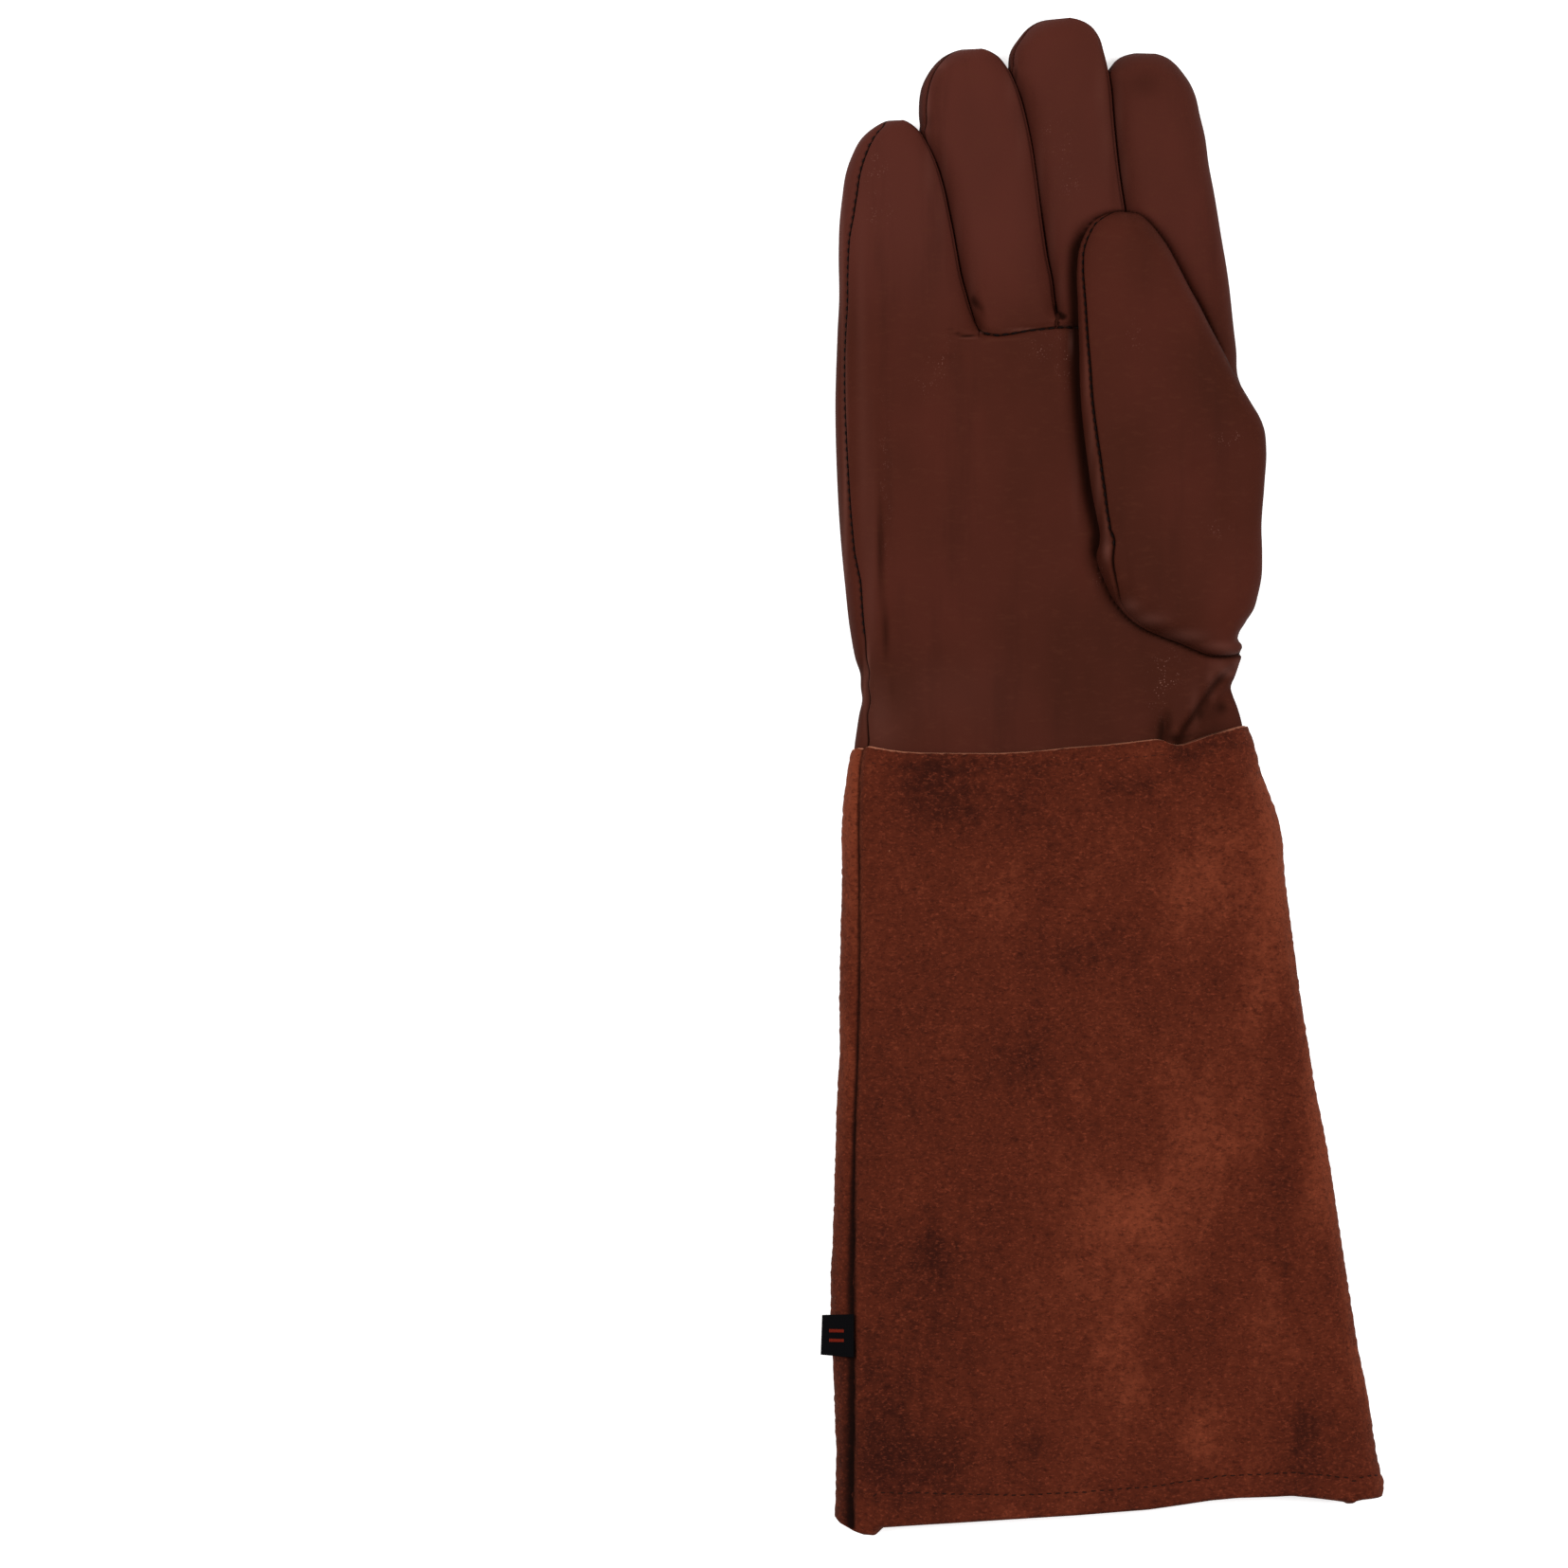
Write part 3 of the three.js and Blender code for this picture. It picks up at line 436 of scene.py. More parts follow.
def beside_thumb(x, y, steps=200):
    """1 along the thumb's outline where it lies on the glove, and a bell of the distance on both sides."""
    shares = np.linspace(0, 1, steps)
    line = line_through(raised(THUMB_LEFT + THUMB_RIGHT[-2:THUMB_CLEAR:-1], PALM_LEVEL), shares)
    away = np.hypot(x[..., None] - line[:, 0], y[..., None] - line[:, 1])
    return np.exp(-(np.min(away / table(THUMB_SHADOW, shares), axis=-1) ** 2))


def fold_shade(x, y, rows):
    """Painted shade in folds: only the deeper ones get it."""
    return -folds(x, y, rows) / 2.4 - 0.15


def hand_painted_shade(x, y):
    """Painted shade in creases, the wrist fold's pocket, the listed places and the thumb's shadow."""
    past = x - table(WRIST_CREST, y)
    # Painted shade behind the crest of the wrist fold and in the tuck beside it
    behind = 0.55 * bell(past - 2.2, 1.1, 2.2) * smooth(31.0, 25.0, y)
    tuck = 0.70 * bell(past_tuck(x, y) + 0.2, 2.0, 0.8) * smooth(19.5, 12.5, y)
    places = fold_shade(x, y, HAND_FOLDS), spots(x, y, SHADE_PLACES)
    return np.maximum.reduce([behind, tuck, *places, 0.9 * beside_thumb(x, y)])


def uneven(x, y, wide, fine, seed):
    """Faint waves of two sizes, of which the wide ones run along the glove."""
    return 0.10 * ripple(x, y * 0.6, wide, seed) + 0.05 * ripple(x, y, fine, seed + 1)


def hand_relief(x, y):
    """Folds of the palm side, the dent beside the thumb and a faint unevenness of the leather."""
    dent = mix(-0.7, -1.2, smooth(42, 76, y)) * beside_thumb(x, y)
    return dent + wrist_fold(x, y) + folds(x, y, HAND_FOLDS) + uneven(x, y, 34, 11, seed=3)


def thumb_fold_shade(x, y):
    return fold_shade(x, y, THUMB_FOLDS)


def thumb_relief(x, y):
    return folds(x, y, THUMB_FOLDS) + uneven(x, y, 30, 10, seed=8)


HAND_SURFACE = (hand_levels, hand_relief, hand_painted_shade)
THUMB_SURFACE = (thumb_levels, thumb_relief, thumb_fold_shade)


def tip_closing(left, right, reach):
    """Quarter ellipse that closes a tube over its last stretch, by distance of a row's middle to the tip."""
    middle = (left + right) / 2
    steps = np.linalg.norm(np.diff(middle, axis=0), axis=1)
    to_tip = np.concatenate([np.cumsum(steps[::-1])[::-1], [0]])
    return quarter_ellipse(to_tip / reach)


# Lines in the palm that carry on from the finger webs down to the wrist
WEB_LINES = {
    "little_ring": [(-39, -6), (-36.5, 60), (-33.7, 120.8)],
    "ring_middle": [(-15, -6), (-14, 60), (-12.6, 121.5)],
    "middle_index": [(11, -6), (10.4, 60), (9.2, 121.5)],
}

# Where the hand starts, how far along a finger's edges its last row lies, and how much closer rows lie at its
# root
WRIST_Y = -6.0
TIP_SHARE = 0.97
ROW_SQUEEZE = 0.12

# How wide the edges are rounded at a finger's root and further up, and how far from its tip it closes
FORK_ROUND, FINGER_ROUND, TIP_REACH = 5.0, 8.5, 8.0

# How far a finger's left edge laps under its neighbour, and how far up a free, tucked and covering edge lies
LAP = 1.0
FREE_SIDE, TUCKED_SIDE, COVERING_SIDE = 0.45, 0.30, 0.68


def stall(finger_left, finger_right, web_left=None, web_right=None):
    """One finger with the strip of palm below it, from the wrist to the tip. The web names say which
    neighbour it parts from on the left and right, or None at the hand's own edge. Each finger's left edge
    lies low, tucked under its neighbour's right edge. Rows are closest together at the finger's root."""
    palm_left, palm_right = WEB_LINES.get(web_left, HAND_LEFT), WEB_LINES.get(web_right, HAND_RIGHT)
    rise = np.linspace(0, 1, PALM_ROWS)
    rise = rise + ROW_SQUEEZE * np.sin(PI * rise)
    climb = np.linspace(0, 1, FINGER_ROWS)[1:]
    climb = TIP_SHARE * (climb - ROW_SQUEEZE * np.sin(PI * climb))
    edges = []
    for palm_line, finger_line in ((palm_left, finger_left), (palm_right, finger_right)):
        y = mix(WRIST_Y, finger_line[0][1], rise)
        low_part = np.stack([across_at(palm_line, y), y], axis=-1)
        edges.append(np.concatenate([low_part, line_through(finger_line, climb)]))
    left, right = edges
    y = (left[:, 1] + right[:, 1]) / 2
    parted, rounding = [], []
    half = np.linalg.norm(right - left, axis=1) / 2
    grow = smooth(118, 150, y)
    for web, edge in ((web_left, left), (web_right, right)):
        parted.append(smooth(*WEB[web][:2], edge[:, 1]) if web else np.ones(len(y)))
        base = FORK_ROUND if web else PALM_ROUND
        rounding.append(np.maximum(np.minimum(mix(base, FINGER_ROUND, grow), half), 0.01))
    if web_left:
        sunk_from, _, apart = WEB[web_left]
        start = min(sunk_from, ROOT_SEAM_Y)
        low = left[:, 1]
        left[:, 0] -= LAP * smooth(start, start + 4.5, low) * smooth(apart + 2.5, apart - 0.5, low)
    sides = TUCKED_SIDE if web_left else FREE_SIDE, COVERING_SIDE if web_right else FREE_SIDE
    return Tube(left, right, parted, rounding, tip_closing(left, right, TIP_REACH), HAND_SURFACE, sides)


little = stall(LITTLE_LEFT, LITTLE_RIGHT, web_right="little_ring")
ring = stall(RING_LEFT, RING_RIGHT, "little_ring", "ring_middle")
middle = stall(MIDDLE_LEFT, MIDDLE_RIGHT, "ring_middle", "middle_index")
index = stall(INDEX_LEFT, INDEX_RIGHT, web_left="middle_index")

THUMB_SHARES = (0.004, 0.985)
THUMB_TIP_REACH, THUMB_BASE_REACH, THUMB_ROUND = 10.0, 20.0, 9.0


def thumb_stall():
    """The thumb: both ends closed. Its edges are sewn down on the palm near its base and lift off further
    up."""
    shares = np.linspace(*THUMB_SHARES, THUMB_ROWS)
    left = line_through(raised(THUMB_LEFT, THUMB_EDGE_LEVEL), shares)
    right = line_through(raised(THUMB_RIGHT, THUMB_EDGE_LEVEL), shares)
    half = np.linalg.norm(right - left, axis=1) / 2
    base = np.concatenate([[0], np.cumsum(np.linalg.norm(np.diff((left + right) / 2, axis=0), axis=1))])
    closing = tip_closing(left, right, THUMB_TIP_REACH) * quarter_ellipse(base / THUMB_BASE_REACH)
    rounding = np.maximum(np.minimum(THUMB_ROUND, half), 0.01)
    sewn = mix(0.10, 0.40, smooth(48, 78, left[:, 1])), mix(0.10, 0.40, smooth(36, 60, right[:, 1]))
    return Tube(left, right, [np.ones(THUMB_ROWS)] * 2, [rounding] * 2, closing, THUMB_SURFACE, sewn)


thumb = thumb_stall()


# Meshes from grids

def grid_normals(points):
    """Unit normals of a grid from the slopes of its rows and columns."""
    along = np.gradient(points, axis=0)
    across = np.gradient(points, axis=1)
    normal = np.cross(across, along)
    return normal / np.maximum(np.linalg.norm(normal, axis=-1, keepdims=True), 1e-9)


def grid_faces(rows, columns, closed_rows=False, closed_columns=False):
    """Four-sided faces of a grid numbered row by row, turned so that columns cross rows points outward."""
    row = np.arange(rows if closed_rows else rows - 1)[:, None]
    column = np.arange(columns if closed_columns else columns - 1)[None, :]
    next_row, next_column = (row + 1) % rows, (column + 1) % columns
    corners = [(row, column), (row, next_column), (next_row, next_column), (next_row, column)]
    return np.stack([r * columns + c for r, c in corners], axis=-1).reshape(-1, 4)


WELD = 0.001


def piece_from(name, grids):
    """A smooth-shaded leather object from grids of points, welded where they touch, with seam lines and
    painted shade.
    """
    points, faces, ink_and_shade, count = [], [], [], 0
    # Each grid comes with how dark its seam lines and painted shade are
    for grid, depth in grids:
        rows, columns = grid.shape[:2]
        faces.append(grid_faces(rows, columns) + count)
        points.append(grid.reshape(-1, 3))
        ink_and_shade.append(depth.reshape(-1))
        count += rows * columns
    points = np.concatenate(points)
    attributes = {"ink_and_shade": np.concatenate(ink_and_shade), **leather_marks(*points.T)}
    return mesh_object(name, points, np.concatenate(faces), attributes, WELD)


def mesh_object(name, points, faces, attributes=None, weld=0.0):
    mesh = bpy.data.meshes.new(name)
    mesh.from_pydata((points * MM).tolist(), [], faces.tolist())
    for key, values in (attributes or {}).items():
        layer = mesh.attributes.new(key, "FLOAT", "POINT")
        layer.data.foreach_set("value", np.ascontiguousarray(values, dtype=np.float32))
    piece = bpy.data.objects.new(name, mesh)
    bpy.context.scene.collection.objects.link(piece)
    if weld:
        shell = bmesh.new()
        shell.from_mesh(mesh)
        bmesh.ops.remove_doubles(shell, verts=shell.verts, dist=weld * MM)
        shell.to_mesh(mesh)
        shell.free()
    mesh.shade_smooth()
    return piece


def apply_modifiers(piece):
    graph = bpy.context.evaluated_depsgraph_get()
    graph.update()
    finished = bpy.data.meshes.new_from_object(piece.evaluated_get(graph))
    old = piece.data
    piece.modifiers.clear()
    piece.data = finished
    bpy.data.meshes.remove(old)
    finished.name = piece.name


def thicken(piece, thickness, offset=-1.0):
    """Gives a sheet its wall, on the inner side or with an offset of 1 on the outer side."""
    wall = piece.modifiers.new("wall", "SOLIDIFY")
    wall.thickness = thickness * MM
    wall.offset = offset
    apply_modifiers(piece)
    piece.data.shade_smooth()


LEATHER = 1.2

# How deep the leather dips at a side seam and at the seam across the finger roots, how far the shade at a
# finger's left and right edge reaches, and how much closer columns lie at a sewn side
SEAM_DIP = 0.8
ROOT_DIP = 0.9
SHADE_REACH = (1.6, 0.5)
COLUMN_SQUEEZE = 0.85

# The share by which a part's columns are moved in, so that its ends belong to its own side of the tube
INSIDE = 1e-6

# Patches where the stretched grain shows pale pores: x, y, half width, half height, strength
PORES = [
    (17.2, 27.5, 3.6, 4, 0.9), (15, 21, 2.6, 5, 0.7), (-17.5, 116, 3.2, 3, 0.7), (-10.6, 112, 1.6, 6, 0.9),
    (-61.2, 162, 2.4, 7, 0.45), (-60.5, 152, 3, 4, 0.3), (-12.4, 172, 3.2, 5, 0.5),
    (-9.5, 160, 2.6, 4, 0.3), (-44, 112, 3, 5, 0.4), (-49, 105, 4, 3, 0.25), (33.5, 90, 4, 2.2, 0.5),
    (29.5, 66, 3.4, 2, 0.35), (-1.2, 55, 1, 3, 0.6), (-59, 78, 1.8, 22, 0.2), (8, 118, 3, 6, 0.2),
]


def leather_marks(x, y, z):
    """Where pores show, where highlights are painted, and how much painted light lies towards the fingertips.
    """
    up = z > 7
    tip_light = smooth(112, 150, y) * mix(1.0, 0.45, np.clip((x + 72) / 108, 0, 1)) * (z < 15.6)
    return {
        "marks_and_painted_light": np.where(up, spots(x, y, PORES), 0),
        "painted_highlight": np.where(up, spots(x, y, HIGHLIGHT_PLACES), 0),
        "tip_light": tip_light,
    }


def leather_grid(
    tube, start, end, columns=36, dips=(0, 0), deep=SEAM_DIP, inked=1.0, line=0.42, shade=(0, 0), root=False
):
    """Part of a tube between two angles, with its columns closer together at a sewn side. There the sheet
    rolls inward as a bell of its distance to the seam, whose width is given in dips, and a dark line runs
    along it. shade is painted shade towards either edge of the tube as seen from above, and on the palm side
    the tube's painted shade of folds, pockets and the thumb's shadow is added. root marks a part that meets
    the seam across the finger roots."""
    u = np.linspace(0, 1, columns)[None, :]
    denser = np.sin(PI * u) * COLUMN_SQUEEZE / PI
    shares = u - denser * (bool(dips[0]) - bool(dips[1]))
    start, end = np.broadcast_to(start, tube.width.shape), np.broadcast_to(end, tube.width.shape)
    angle = mix(mix(start[:, None], end[:, None], shares), (start + end)[:, None] / 2, INSIDE)
    points = tube.points(angle)
    steps = np.linalg.norm(np.diff(points, axis=1), axis=-1)
    run = np.concatenate([np.zeros((len(points), 1)), np.cumsum(steps, axis=1)], axis=1)
    depth, ink = np.zeros(run.shape), np.zeros(run.shape)
    for width, away in zip(dips, (run, run[:, -1:] - run)):
        if width:
            depth = np.maximum(depth, np.exp(-((away / width) ** 2)))
            drawn = np.reshape(inked, (-1, 1)) * np.exp(-((away / np.reshape(line, (-1, 1))) ** 2))
            ink = np.maximum(ink, drawn)
    fade = np.clip((tube.width - 9) / 6, 0, 1)[:, None]
    inset = (1 - np.cos(angle)) / 2 * tube.width[:, None]
    insets = inset, tube.width[:, None] - inset
    for dark, reach, parted, away in zip(shade, SHADE_REACH, tube.parted, insets):
        dark = np.reshape(dark, (-1, 1)) * parted[:, None]
        ink = np.maximum(ink, dark * np.exp(-((away / reach) ** 2)))
    points = points - grid_normals(points) * (deep * depth * fade)[..., None]
    x, y = points[..., 0], points[..., 1]
    if root:
        above = y + table(ROOT_SEAM_SAG, x) - ROOT_SEAM_Y - ROOT_SEAM_RISE
        across = smooth(-34.8, -33.6, x)
        points[..., 2] -= ROOT_DIP * across * np.exp(-((above / np.where(above > 0, 1.3, 0.5)) ** 2))
        ink = np.maximum(ink, 0.9 * across * np.exp(-((above / 0.36) ** 2)))
    palm_side_shade = np.clip(tube.painted_shade(x, y), 0, 0.8)
    return points, np.maximum(ink, np.where(np.sin(angle) > 0, palm_side_shade, 0))


PALM = slice(0, PALM_ROWS)
FRONT = slice(PALM_ROWS - 1, None)


def leather_piece(name, grids, replaced, wall=LEATHER):
    piece = piece_from(name, grids)
    thicken(piece, wall)
    finish_piece(piece, smooth_leather, replaced)


def finish_piece(piece, finish, replaced=()):
    piece.data.materials.clear()
    piece.data.materials.append(finish)
    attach(piece, "root")
    if replaced:
        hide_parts(*replaced)


# Finishes

class Value:
    """A shader socket in sums: each operator adds the Math node that works it out."""

    def __init__(self, finish, socket):
        self.finish, self.socket = finish, socket

    def __add__(self, other):
        return self.finish.math("ADD", self, other)

    def __radd__(self, other):
        return self.finish.math("ADD", other, self)

    def __sub__(self, other):
        return self.finish.math("SUBTRACT", self, other)

    def __rsub__(self, other):
        return self.finish.math("SUBTRACT", other, self)

    def __mul__(self, other):
        return self.finish.math("MULTIPLY", self, other)

    def __rmul__(self, other):
        return self.finish.math("MULTIPLY", other, self)


class Finish:
    """A node material with one Principled shader, whose fixed values are set on its own sockets."""

    def __init__(self, name, **fixed):
        self.material = bpy.data.materials.new(name)
        self.material.use_nodes = True
        self.tree = self.material.node_tree
        self.shader = self.tree.nodes["Principled BSDF"]
        for socket, value in fixed.items():
            self.shader.inputs[socket.replace("_", " ")].default_value = value

    def feed(self, socket, value):
        if isinstance(value, Value):
            self.tree.links.new(value.socket, socket)
        else:
            socket.default_value = value

    def node(self, kind, settings=None, inputs=None, output=0):
        """Adds a node by type, sets its settings, then its sockets, and gives one of its outputs."""
        node = self.tree.nodes.new("ShaderNode" + kind)
        for key, value in (settings or {}).items():
            setattr(node, key, value)
        for key, value in (inputs or {}).items():
            self.feed(node.inputs[key], value)
        return Value(self, node.outputs[output])

    def math(self, operation, *values):
        return self.node("Math", {"operation": operation}, dict(enumerate(values)))

    def band(self, value, low, high):
        """0 below low, 1 above high, an S curve between."""
        inputs = {"Value": value, "From Min": low, "From Max": high}
        return self.node("MapRange", {"interpolation_type": "SMOOTHSTEP"}, inputs)

    def blend(self, share, first, second):
        inputs = {0: share, 6: first, 7: second}
        return self.node("Mix", {"data_type": "RGBA"}, inputs, output=2)

    def place(self, stretch=(1, 1, 1)):
        """Object coordinates in metres, stretched along the axes."""
        spot = self.node("TexCoord", output=3)
        return self.node("Mapping", inputs={"Vector": spot, "Scale": stretch})

    def noise(self, size, detail=3.0, roughness=0.55, distortion=0.0, stretch=(1, 1, 1), seed=0.0):
        """Cloudy noise whose patches are about size millimetres wide."""
        inputs = {"Vector": self.place(stretch), "W": seed, "Scale": 1 / (size * MM), "Detail": detail}
        inputs.update({"Roughness": roughness, "Distortion": distortion})
        return self.node("TexNoise", {"noise_dimensions": "4D"}, inputs)

    def cells(self, size, stretch=(1, 1, 1)):
        inputs = {"Vector": self.place(stretch), "Scale": 1 / (size * MM)}
        return self.node("TexVoronoi", inputs=inputs)

    def mark(self, name):
        """A value that is stored on the mesh."""
        return self.node("Attribute", {"attribute_name": name}, output=2)

    def bump(self, height, distance, strength=1.0, below=None):
        inputs = {"Height": height, "Distance": distance * MM, "Strength": strength}
        if below is not None:
            inputs["Normal"] = below
        return self.node("Bump", inputs=inputs)

    def set(self, **varying):
        for socket, value in varying.items():
            self.feed(self.shader.inputs[socket.replace("_", " ")], value)
        return self.material


def colour(red, green, blue):
    """Linear colour from the 0 to 255 values that a picture shows."""
    part = np.array([red, green, blue]) / 255
    linear = np.where(part <= 0.04045, part / 12.92, ((part + 0.055) / 1.055) ** 2.4)
    return (*linear.tolist(), 1.0)


def make_smooth_leather():
    """Dark reddish-brown grain leather: nearly even tone, fine grain, pale pores where it is stretched, dark
    seam lines, painted shade, painted highlights and painted light towards the fingertips."""
    finish = Finish("smooth_leather", IOR=1.45, Specular_IOR_Level=0.025)
    cloud = finish.noise(38, 3, stretch=(1, 0.55, 1), seed=1.0)
    tone = finish.blend(finish.band(cloud, 0.36, 0.66), colour(59, 26, 17), colour(70, 31, 22))
    redder = finish.band(finish.noise(60, 2, seed=5.0), 0.42, 0.7)
    tone = finish.blend(redder * 0.6, tone, colour(74, 32, 24))
    # Painted light towards the fingertips, most on the little finger's side
    tone = finish.blend(finish.mark("tip_light") * 0.5, tone, colour(88, 43, 36))
    streak = finish.noise(9, 4, 0.6, stretch=(1, 0.12, 1), seed=2.0)
    tone = finish.blend(finish.band(streak, 0.50, 0.76) * 0.35, tone, colour(48, 21, 14))
    fine = finish.noise(1.1, 3, 0.6, stretch=(0.35, 1, 1), seed=6.0)
    tone = finish.blend(finish.band(fine, 0.50, 0.75) * 0.32, tone, colour(76, 38, 26))
    dots = 1 - finish.band(finish.cells(0.62), 0.12, 0.32)
    broken = finish.band(finish.noise(2.6, 2, 0.6, seed=9.0), 0.44, 0.60)
    stretched = dots * broken * finish.mark("marks_and_painted_light")
    tone = finish.blend(stretched * 0.9, tone, colour(150, 104, 92))
    # Painted highlights
    tone = finish.blend(finish.mark("painted_highlight") * 0.6, tone, colour(122, 76, 66))
    # Dark seam lines, and painted shade in creases, gaps between fingers and the thumb's shadow
    ink_and_shade = finish.mark("ink_and_shade")
    tone = finish.blend(finish.band(ink_and_shade, 0.10, 0.85) * 0.92, tone, colour(22, 8, 4))
    grain = finish.noise(0.8, 3, 0.6, seed=3.0)
    wrinkle = finish.noise(4.5, 3, 0.6, 0.6, stretch=(1, 0.6, 1), seed=4.0)
    soft = finish.bump(wrinkle, 0.25, 0.35)
    skin = finish.bump(grain, 0.08, 0.4, below=soft)
    rough = 0.56 + 0.12 * cloud + 0.06 * grain + 0.35 * ink_and_shade
    return finish.set(Base_Color=tone, Roughness=rough, Normal=skin)


def make_suede(name, lighter=0.0):
    """Napped split suede: dark and rusty mottling, brushed patches, speckled fibres, a soft sheen."""
    sheen = {"Sheen_Weight": 0.06, "Sheen_Roughness": 0.45, "Sheen_Tint": colour(255, 205, 170)}
    finish = Finish(name, Specular_IOR_Level=0.04, **sheen)
    wide = finish.noise(46, 3, 0.5, 0.3, seed=11.0)
    brushed = finish.noise(17, 5, 0.6, 0.6, stretch=(1, 0.45, 1), seed=12.0)
    blot = finish.noise(2.4, 4, 0.65, 0.5, seed=13.0)
    level = 0.51 + (wide - 0.5) * 0.15 + (brushed - 0.5) * 0.6 + (blot - 0.5) * 0.55
    # The mark holds the nap's lighter and darker areas and the cuff's painted light, shade and sheen
    level = level + finish.mark("marks_and_painted_light") * 0.23
    tone = finish.blend(finish.band(level, 0.20, 0.54), colour(46, 17, 11), colour(78, 31, 18))
    tone = finish.blend(finish.band(level, 0.50, 0.86), tone, colour(110, 50, 31))
    fibre = finish.noise(0.75, 4, 0.7, 0.4, stretch=(0.55, 1, 1), seed=14.0)
    tone = finish.blend(finish.band(fibre, 0.46, 0.70) * 0.62, tone, colour(40, 13, 8))
    glint = finish.noise(0.65, 3, 0.7, 0.3, stretch=(0.6, 1, 1), seed=15.0)
    lit = finish.blend(0.45, tone, colour(150, 70, 46))
    tone = finish.blend(finish.band(glint, 0.50, 0.74) * 0.75, tone, lit)
    fluff = finish.band(finish.noise(1.3, 2, 0.5, seed=16.0), 0.76, 0.81)
    tone = finish.blend(fluff * 0.5, tone, colour(150, 92, 66))
    if lighter:
        tone = finish.blend(lighter + 0.3 * finish.mark("marks_and_painted_light"), tone, colour(176, 112, 86))
    # Dark seam groove and the painted shade beside it
    ink_and_shade = finish.mark("ink_and_shade")
    tone = finish.blend(finish.band(ink_and_shade, 0.05, 0.95) * 0.94, tone, colour(12, 5, 4))
    nap_height = finish.bump(fibre * 0.6 + glint * 0.4, 0.35, 0.6)
    uneven = finish.bump(brushed, 0.9, 0.4, below=nap_height)
    return finish.set(Base_Color=tone, Roughness=0.92 + 0.06 * blot, Normal=uneven)


def make_thread(name, tint):
    finish = Finish(name, Roughness=0.8, Specular_IOR_Level=0.08)
    twist = finish.noise(0.3, 2, seed=21.0)
    tone = finish.blend(twist, colour(*[v * 0.6 for v in tint]), colour(*tint))
    return finish.set(Base_Color=tone, Normal=finish.bump(twist, 0.05, 0.5))


def make_tab_weave():
    """Dense black woven ribbon: fine cross threads."""
    finish = Finish("tab_weave", Roughness=0.8, Specular_IOR_Level=0.05)
    spot = finish.place()
    ribs, cross = [
        finish.node("TexWave", {"bands_direction": way}, {"Vector": spot, "Scale": scale}, output=1)
        for way, scale in (("Y", 900), ("X", 700))
    ]
    weave = ribs * 0.6 + cross * 0.4
    tone = finish.blend(weave, colour(2, 2, 3), colour(7, 6, 8))
    return finish.set(Base_Color=tone, Normal=finish.bump(weave, 0.06, 0.6))


def make_floor():
    glow = {"Emission_Color": (1, 1, 1, 1), "Emission_Strength": 0.6}
    pale = {"Base_Color": (0.92, 0.92, 0.92, 1), "Roughness": 0.9, "Specular_IOR_Level": 0.1}
    return Finish("pale_floor", **pale, **glow).material


smooth_leather = make_smooth_leather()
suede = make_suede("suede")
cut_edge = make_suede("suede_cut_edge", lighter=0.5)
dark_thread = make_thread("dark_thread", (20, 9, 7))
brown_thread = make_thread("brown_thread", (74, 30, 18))
hem_thread = make_thread("hem_thread", (46, 19, 12))
red_thread = make_thread("red_thread", (136, 36, 18))
tab_weave = make_tab_weave()


# The hand's leather panels

def front_grid(tube, left_inset, right_inset, **options):
    return leather_grid(tube, tube.left_seam(left_inset), PI - tube.right_seam(right_inset), **options)


# For an edge without a seam
NO_INSET = [(0, 0), (1, 0)]

# How dark the line along the little finger's side seam is, by height: near the wrist it is a soft groove
SIDE_SEAM_DARK = [(-6, 1.0), (15, 1.0), (21, 0.35), (34, 0.4), (44, 1.0)]

palm_grids = [
    front_grid(
        little, LITTLE_SEAM_INSET, FORK_RIM, columns=44, dips=(0.45, 0), shade=(0, 0.15),
        inked=little.by_height(SIDE_SEAM_DARK),
    ),
    leather_grid(ring[PALM], 0, PI, root=True),
    leather_grid(middle[PALM], 0, PI, root=True),
    front_grid(index, FORK_RIM, NO_INSET, columns=56, shade=(0.2, 0)),
]
leather_piece("palm_leather", palm_grids, ["palm_panel"])
for finger, tube, rim in (("ring", ring, RING_RIM), ("middle", middle, MIDDLE_RIM)):
    front = front_grid(tube[FRONT], rim, FORK_RIM, dips=(0.4, 0), inked=0.6, shade=(0.35, 0.1), root=True)
    leather_piece(f"{finger}_front_leather", [front], [f"{finger}_front"])


# How dark the painted shade in the gaps between the fingers is, by height
LITTLE_RING_SHADE = [(121, 0.5), (200, 0.5)]
RING_MIDDLE_SHADE = [(121, 0.5), (146, 0.5), (155, 0.0), (170, 0.0), (178, 0.4), (200, 0.4)]
MIDDLE_INDEX_SHADE = [(121, 0.5), (152, 0.5), (158, 0.0), (200, 0.0)]

# The strips between the fingers are thin, because at the tips they are narrower than the leather is thick
FORK_WALL = 0.4


def back_grid(tube, left_angle, right_inset):
    """From the fork on a finger's right edge, under the back, to its left edge or the wrapped seam."""
    return leather_grid(tube, PI + tube.right_seam(right_inset), left_angle, columns=32)


def back_left(tube):
    return 2 * PI - tube.left_seam(FORK_BACK)


little_seam = little.left_seam(LITTLE_SEAM_INSET)
leather_piece(
    "back_leather",
    [
        back_grid(little, 2 * PI, FORK_BACK),
        leather_grid(little, 2 * PI, 2 * PI + little_seam, columns=16, dips=(0, 1.2)),
        back_grid(ring, back_left(ring), FORK_BACK),
        back_grid(middle, back_left(middle), FORK_BACK),
        back_grid(index, back_left(index), NO_INSET),
    ],
    ["back_panel"],
)


